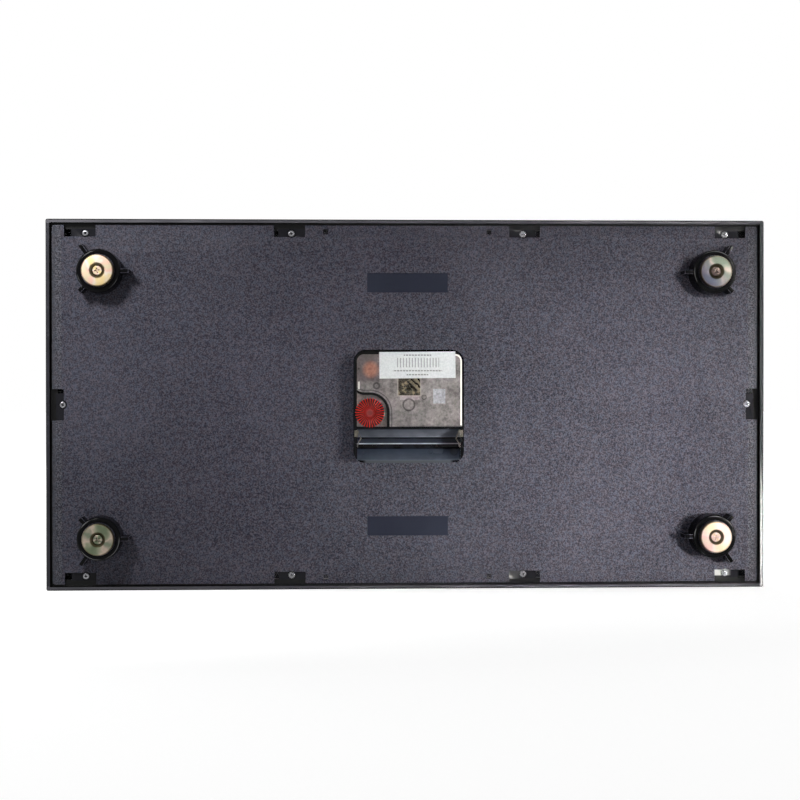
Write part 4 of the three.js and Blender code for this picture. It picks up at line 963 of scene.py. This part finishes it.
def post_sleeve(number):
    """Gloss skin of one post with its three fins, fitted over the post in the panel."""
    low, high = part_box(f"magnet_{number}")
    centre = (low + high) / 2
    outer, rear = SLEEVE_RADIUS + SLEEVE_SKIN, POST_REAR + SLEEVE_SKIN
    rim = arc((outer - SLEEVE_ROUNDING, rear - SLEEVE_ROUNDING), SLEEVE_ROUNDING, 0, 90, 6)
    profile = [(SLEEVE_BASE + SLEEVE_SKIN, SLEEVE_FOOT), (outer, POST_REAR - SLEEVE_ROUNDING)]
    profile += rim[1:] + [
        (SLEEVE_WELL + SLEEVE_LIP, rear), (SLEEVE_WELL + 0.1 * MM, rear - 0.1 * MM),
        (SLEEVE_WELL, POST_REAR - SLEEVE_LIP), (SLEEVE_WELL, POST_REAR - SLEEVE_WELL_DEPTH),
    ]
    mesh = lathe(profile, SLEEVE_FACETS, 0, 0)
    inward, up = -math.copysign(1, centre.x), math.copysign(1, centre.z)
    for reach, turn in FINS:
        angle = math.radians(turn)
        post_fin(mesh, reach, math.atan2(up * math.sin(angle), inward * math.cos(angle)))
    bmesh.ops.translate(mesh, verts=mesh.verts, vec=(centre.x, 0, centre.z))
    name = f"post_sleeve_{number}"
    return piece_from(mesh, name, "housing", "post", smooth_angle=45)


KNOB_RADIUS = 7.4 * MM
KNOB_FOOT = COVER_FRONT + 1.1 * MM
# The knob's top, from its edge inwards: the width of each ring and how far it rises
KNOB_RINGS = (
    (0.25 * MM, 0), (2.6 * MM, 0), (0.5 * MM, -0.35 * MM), (1.4 * MM, 0), (0.5 * MM, 0.3 * MM),
    (0.9 * MM, 0),
)
KNOB_MIDDLE = 3.9 * MM  # inside this radius the top has no grooves
KNOB_GROOVE = {"side": 0.28 * MM, "edge": 0.5 * MM, "top": 0.3 * MM}  # depths
# The pin under the knob and the stem above it: the radius, and the height where they meet
KNOB_PIN, KNOB_STEM = (0.6 * MM, -12.4 * MM), (1.5 * MM, -12.3 * MM)
STEM_FACETS = 32


def cut_knob_grooves(mesh):
    """Sinks every second pair of spokes, on the knob's side and over its top."""
    spokes = KNOB_RIBS * 4
    for vert in mesh.verts:
        radius = math.hypot(vert.co.x, vert.co.z)
        spoke = round(math.atan2(vert.co.z, vert.co.x) / TURN * spokes)
        if radius < KNOB_MIDDLE or spoke % 4 < 2:
            continue
        if radius > KNOB_RADIUS - 0.1 * MM:
            share = (KNOB_RADIUS - KNOB_GROOVE["side"]) / KNOB_RADIUS
            vert.co.x *= share
            vert.co.z *= share
            if vert.co.y > KNOB_FOOT + 0.1 * MM:
                vert.co.y -= KNOB_GROOVE["edge"]
        else:
            vert.co.y -= KNOB_GROOVE["top"]


def setting_knob():
    """Red setting knob: radial ribs run up its side and over its top to a plainer middle."""
    low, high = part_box("set_knob")
    axis_x, axis_z = KNOB_AXIS
    mesh = bmesh.new()
    ring = bmesh.ops.create_circle(
        mesh, cap_ends=True, radius=KNOB_RADIUS, segments=KNOB_RIBS * 4,
    )["verts"]
    turned(mesh, ring, math.radians(-90), "X")
    bmesh.ops.translate(mesh, verts=ring, vec=(0, high.y, 0))
    face = mesh.faces[:]
    for inset, rise in KNOB_RINGS:
        bmesh.ops.inset_individual(mesh, faces=face, thickness=inset, depth=0)
        bmesh.ops.translate(mesh, verts=face[0].verts[:], vec=(0, rise, 0))
    side = [edge for edge in mesh.edges if edge.is_boundary]
    down = bmesh.ops.extrude_edge_only(mesh, edges=side)["geom"]
    skirt = only(bmesh.types.BMVert, down)
    bmesh.ops.translate(mesh, verts=skirt, vec=(0, KNOB_FOOT - high.y, 0))
    bmesh.ops.contextual_create(mesh, geom=only(bmesh.types.BMEdge, down))
    cut_knob_grooves(mesh)
    bmesh.ops.translate(mesh, verts=mesh.verts, vec=(axis_x, 0, axis_z))
    piece_from(mesh, "setting_knob_head", "knob", "knob", ["set_knob"], 25)
    profile = [(0, low.y), (KNOB_PIN[0], low.y), KNOB_PIN, KNOB_STEM]
    profile += [(KNOB_STEM[0], KNOB_FOOT), (0, KNOB_FOOT)]
    below = lathe(profile, STEM_FACETS, axis_x, axis_z)
    piece_from(below, "setting_knob_stem", "knob", "knob")


for number, turn in zip(MAGNET_NUMBERS, MAGNET_SCREW_TURNS):
    magnet_ring(number)
    post_sleeve(number)
    cross_head_screw(
        f"magnet_fixing_{number}", f"magnet_screw_{number}", "zinc", "zinc_plate", turn,
        cone=True, **MAGNET_SCREW,
    )
for number in PANEL_SCREW_NUMBERS:
    cross_head_screw(
        f"panel_fixing_{number}", f"panel_screw_{number}", "steel", "steel",
        number * PANEL_SCREW_TURN, **PANEL_SCREW,
    )
setting_knob()

# The rounding of a solid's edges: its width, and its segments
ROUNDED_EDGES = {
    "front_frame": (0.4 * MM, 2), "back_panel": (0.18 * MM, 2),
    "movement_case": (0.25 * MM, 3), "movement_cover": (0.15 * MM, 2),
    "battery_contact_positive": (0.08 * MM, 2), "battery_contact_negative": (0.08 * MM, 2),
    "hour_hand": (0.12 * MM, 2), "minute_hand": (0.12 * MM, 2), "second_hand": (0.12 * MM, 2),
    "mounting_nut": (0.25 * MM, 2),
}
for node, (width, segments) in ROUNDED_EDGES.items():
    softened(node, width, segments)

TRACK_RADIUS = 78.5 * MM
HOUR_MARK, MINUTE_MARK = (7.0 * MM, 1.6 * MM), (4.0 * MM, 0.7 * MM)  # length and width
MARK_THICK = 0.06 * MM
NUMERAL_RADIUS, NUMERAL_SIZE, NUMERAL_THICK = 61.5 * MM, 15 * MM, 0.04 * MM


def minute_track():
    """Sixty printed marks in a ring, the fives heavier."""
    mesh = bmesh.new()
    for minute in range(60):
        long, wide = MINUTE_MARK if minute % 5 else HOUR_MARK
        made = bmesh.ops.create_cube(mesh, size=1)["verts"]
        bmesh.ops.scale(mesh, verts=made, vec=(wide, MARK_THICK, long))
        middle = (0, DIAL_FRONT - MARK_THICK / 2, TRACK_RADIUS - long / 2)
        bmesh.ops.translate(mesh, verts=made, vec=middle)
        turned(mesh, made, TURN * minute / 60, "Y")
    return piece_from(mesh, "minute_track_print", "housing", "numeral")


def numeral(hour):
    """One printed numeral, made a mesh before it goes to its place."""
    curve = bpy.data.curves.new(f"numeral_{hour}", "FONT")
    curve.body = str(hour)
    curve.align_x = "CENTER"
    curve.align_y = "CENTER"
    curve.size = NUMERAL_SIZE
    curve.extrude = NUMERAL_THICK
    holder = bpy.data.objects.new("numeral_holder", curve)
    bpy.context.scene.collection.objects.link(holder)
    bpy.context.view_layer.update()
    shaped = holder.evaluated_get(bpy.context.evaluated_depsgraph_get())
    data = bpy.data.meshes.new_from_object(shaped)
    bpy.data.objects.remove(holder)
    mesh = bmesh.new()
    mesh.from_mesh(data)
    # Text lies in X and Y. It is stood up so that it reads from -Y
    turned(mesh, mesh.verts, math.radians(90), "X")
    angle = TURN * hour / 12
    across, up = NUMERAL_RADIUS * math.sin(angle), NUMERAL_RADIUS * math.cos(angle)
    middle = (across, DIAL_FRONT - NUMERAL_THICK / 2, up)
    bmesh.ops.translate(mesh, verts=mesh.verts, vec=middle)
    return piece_from(mesh, f"numeral_{hour}_print", "housing", "numeral")


minute_track()
for hour in range(1, 13):
    numeral(hour)

WORLD_FILL = 0.1  # how strongly the white world lights the object
NEUTRAL, WARM = (1, 1, 1), (1, 0.975, 0.94)
# Name, place, what it points at, width and height in metres, watts, spread in degrees, and colour
LAMPS = [
    ("lamp_upper_left", (0.257, 0.24, 0.2), (0.15, -0.017, 0.03),
     (0.06, 0.06), 0.29, 100, NEUTRAL),
    ("lamp_upper_right", (-1.02, 2.0, 0.41), (-0.15, -0.017, 0.044),
     (0.2, 0.2), 0.115, 8.4, WARM),
    ("lamp_lower_right", (-1.36, 2.0, -0.045), (-0.118, -0.017, -0.052),
     (0.2, 0.08), 0.198, 8.4, WARM),
    ("softbox_front", (0.3, -1.1, 0.7), (0, 0, 0), (0.8, 0.8), 10, 180, NEUTRAL),
    ("softbox_side_left", (1.3, -0.2, 0.5), (0, 0, 0), (0.6, 0.6), 5, 180, NEUTRAL),
    ("softbox_side_right", (-1.3, -0.2, 0.5), (0, 0, 0), (0.6, 0.6), 5, 180, NEUTRAL),
]
FLOOR_HALF = 6
# Between these distances from the object the floor's glow rises from the first share to white
GLOW_REACH, GLOW_SHARES = (0.5, 1.6), (0.68, 1.0)
CAMERA_PLACE = (0.0424, 0.900, 0.010)
# Degrees by which the camera is turned from a level, square look at the back
CAMERA_PAN, CAMERA_TILT, CAMERA_ROLL = -2.405, 0.483, -0.049
CAMERA_LENS, CAMERA_SENSOR = 80.25, 36
CAMERA_CLIP = (0.01, 50)


def stage_finish():
    """A white floor that keeps the object's shadow and shows white where it is lit."""
    finish = Finish("studio_floor_white", (0.82, 0.82, 0.82, 1), 0.9, Specular_IOR_Level=0.0)
    x, y, z = finish.axes()
    # Near the object it glows less, so that the shadow shows
    glow = finish.background_rays() * apart(x, y).smooth(*GLOW_REACH, *GLOW_SHARES)
    emission = finish.node("ShaderNodeEmission", inputs={"Color": WHITE, "Strength": glow})
    plain = Signal(finish, finish.shader.outputs[0])
    whole = finish.node("ShaderNodeAddShader", inputs={0: plain, 1: emission})
    finish.fill(finish.tree.nodes["Material Output"].inputs["Surface"], whole)
    return finish


def studio_floor():
    """The floor that the clock stands on."""
    mesh = bmesh.new()
    bmesh.ops.create_grid(mesh, x_segments=4, y_segments=4, size=FLOOR_HALF)
    bmesh.ops.translate(mesh, verts=mesh.verts, vec=(0, 0, cad_box[0][2]))
    data = bpy.data.meshes.new("studio_floor")
    mesh.to_mesh(data)
    mesh.free()
    floor = bpy.data.objects.new("studio_floor", data)
    bpy.context.scene.collection.objects.link(floor)
    floor.data.materials.append(stage_finish().material)


def studio_world():
    """White behind the object, and a faint even light on it."""
    world = bpy.data.worlds.new("studio_world")
    bpy.context.scene.world = world
    world.use_nodes = True
    graph = Graph(world.node_tree)
    back = world.node_tree.nodes["Background"]
    graph.fill(back.inputs["Color"], WHITE)
    strength = graph.background_rays() * (1 - WORLD_FILL) + WORLD_FILL
    graph.fill(back.inputs["Strength"], strength)


def studio_lamp(name, place, target, size, power, spread, color):
    """A flat lamp that points at its target."""
    lamp = bpy.data.lights.new(name, "AREA")
    lamp.shape = "RECTANGLE"
    lamp.size, lamp.size_y = size
    lamp.energy = power
    lamp.color = color
    lamp.spread = math.radians(spread)
    holder = bpy.data.objects.new(name, lamp)
    bpy.context.scene.collection.objects.link(holder)
    holder.location = place
    holder.rotation_mode = "QUATERNION"
    direction = Vector(target) - Vector(place)
    holder.rotation_quaternion = direction.to_track_quat("-Z", "Y")
    holder.visible_camera = False


def photo_camera():
    """The photograph's camera, which looks at the clock's back."""
    data = bpy.data.cameras.new("photo_camera")
    data.sensor_width = CAMERA_SENSOR
    data.lens = CAMERA_LENS
    data.clip_start, data.clip_end = CAMERA_CLIP
    camera = bpy.data.objects.new("photo_camera", data)
    bpy.context.scene.collection.objects.link(camera)
    level = Matrix.Rotation(math.pi / 2, 3, "X")
    behind = Matrix.Rotation(math.pi, 3, "Z")
    pan = Matrix.Rotation(math.radians(CAMERA_PAN), 3, "Z")
    tilt = Matrix.Rotation(math.radians(CAMERA_TILT), 3, "X")
    roll = Matrix.Rotation(math.radians(CAMERA_ROLL), 3, "Z")
    turn = pan @ tilt @ behind @ level @ roll
    camera.matrix_world = Matrix.Translation(CAMERA_PLACE) @ turn.to_4x4()
    bpy.context.scene.camera = camera


studio_floor()
studio_world()
for lamp in LAMPS:
    studio_lamp(*lamp)
photo_camera()
bpy.context.scene.view_settings.view_transform = "Standard"
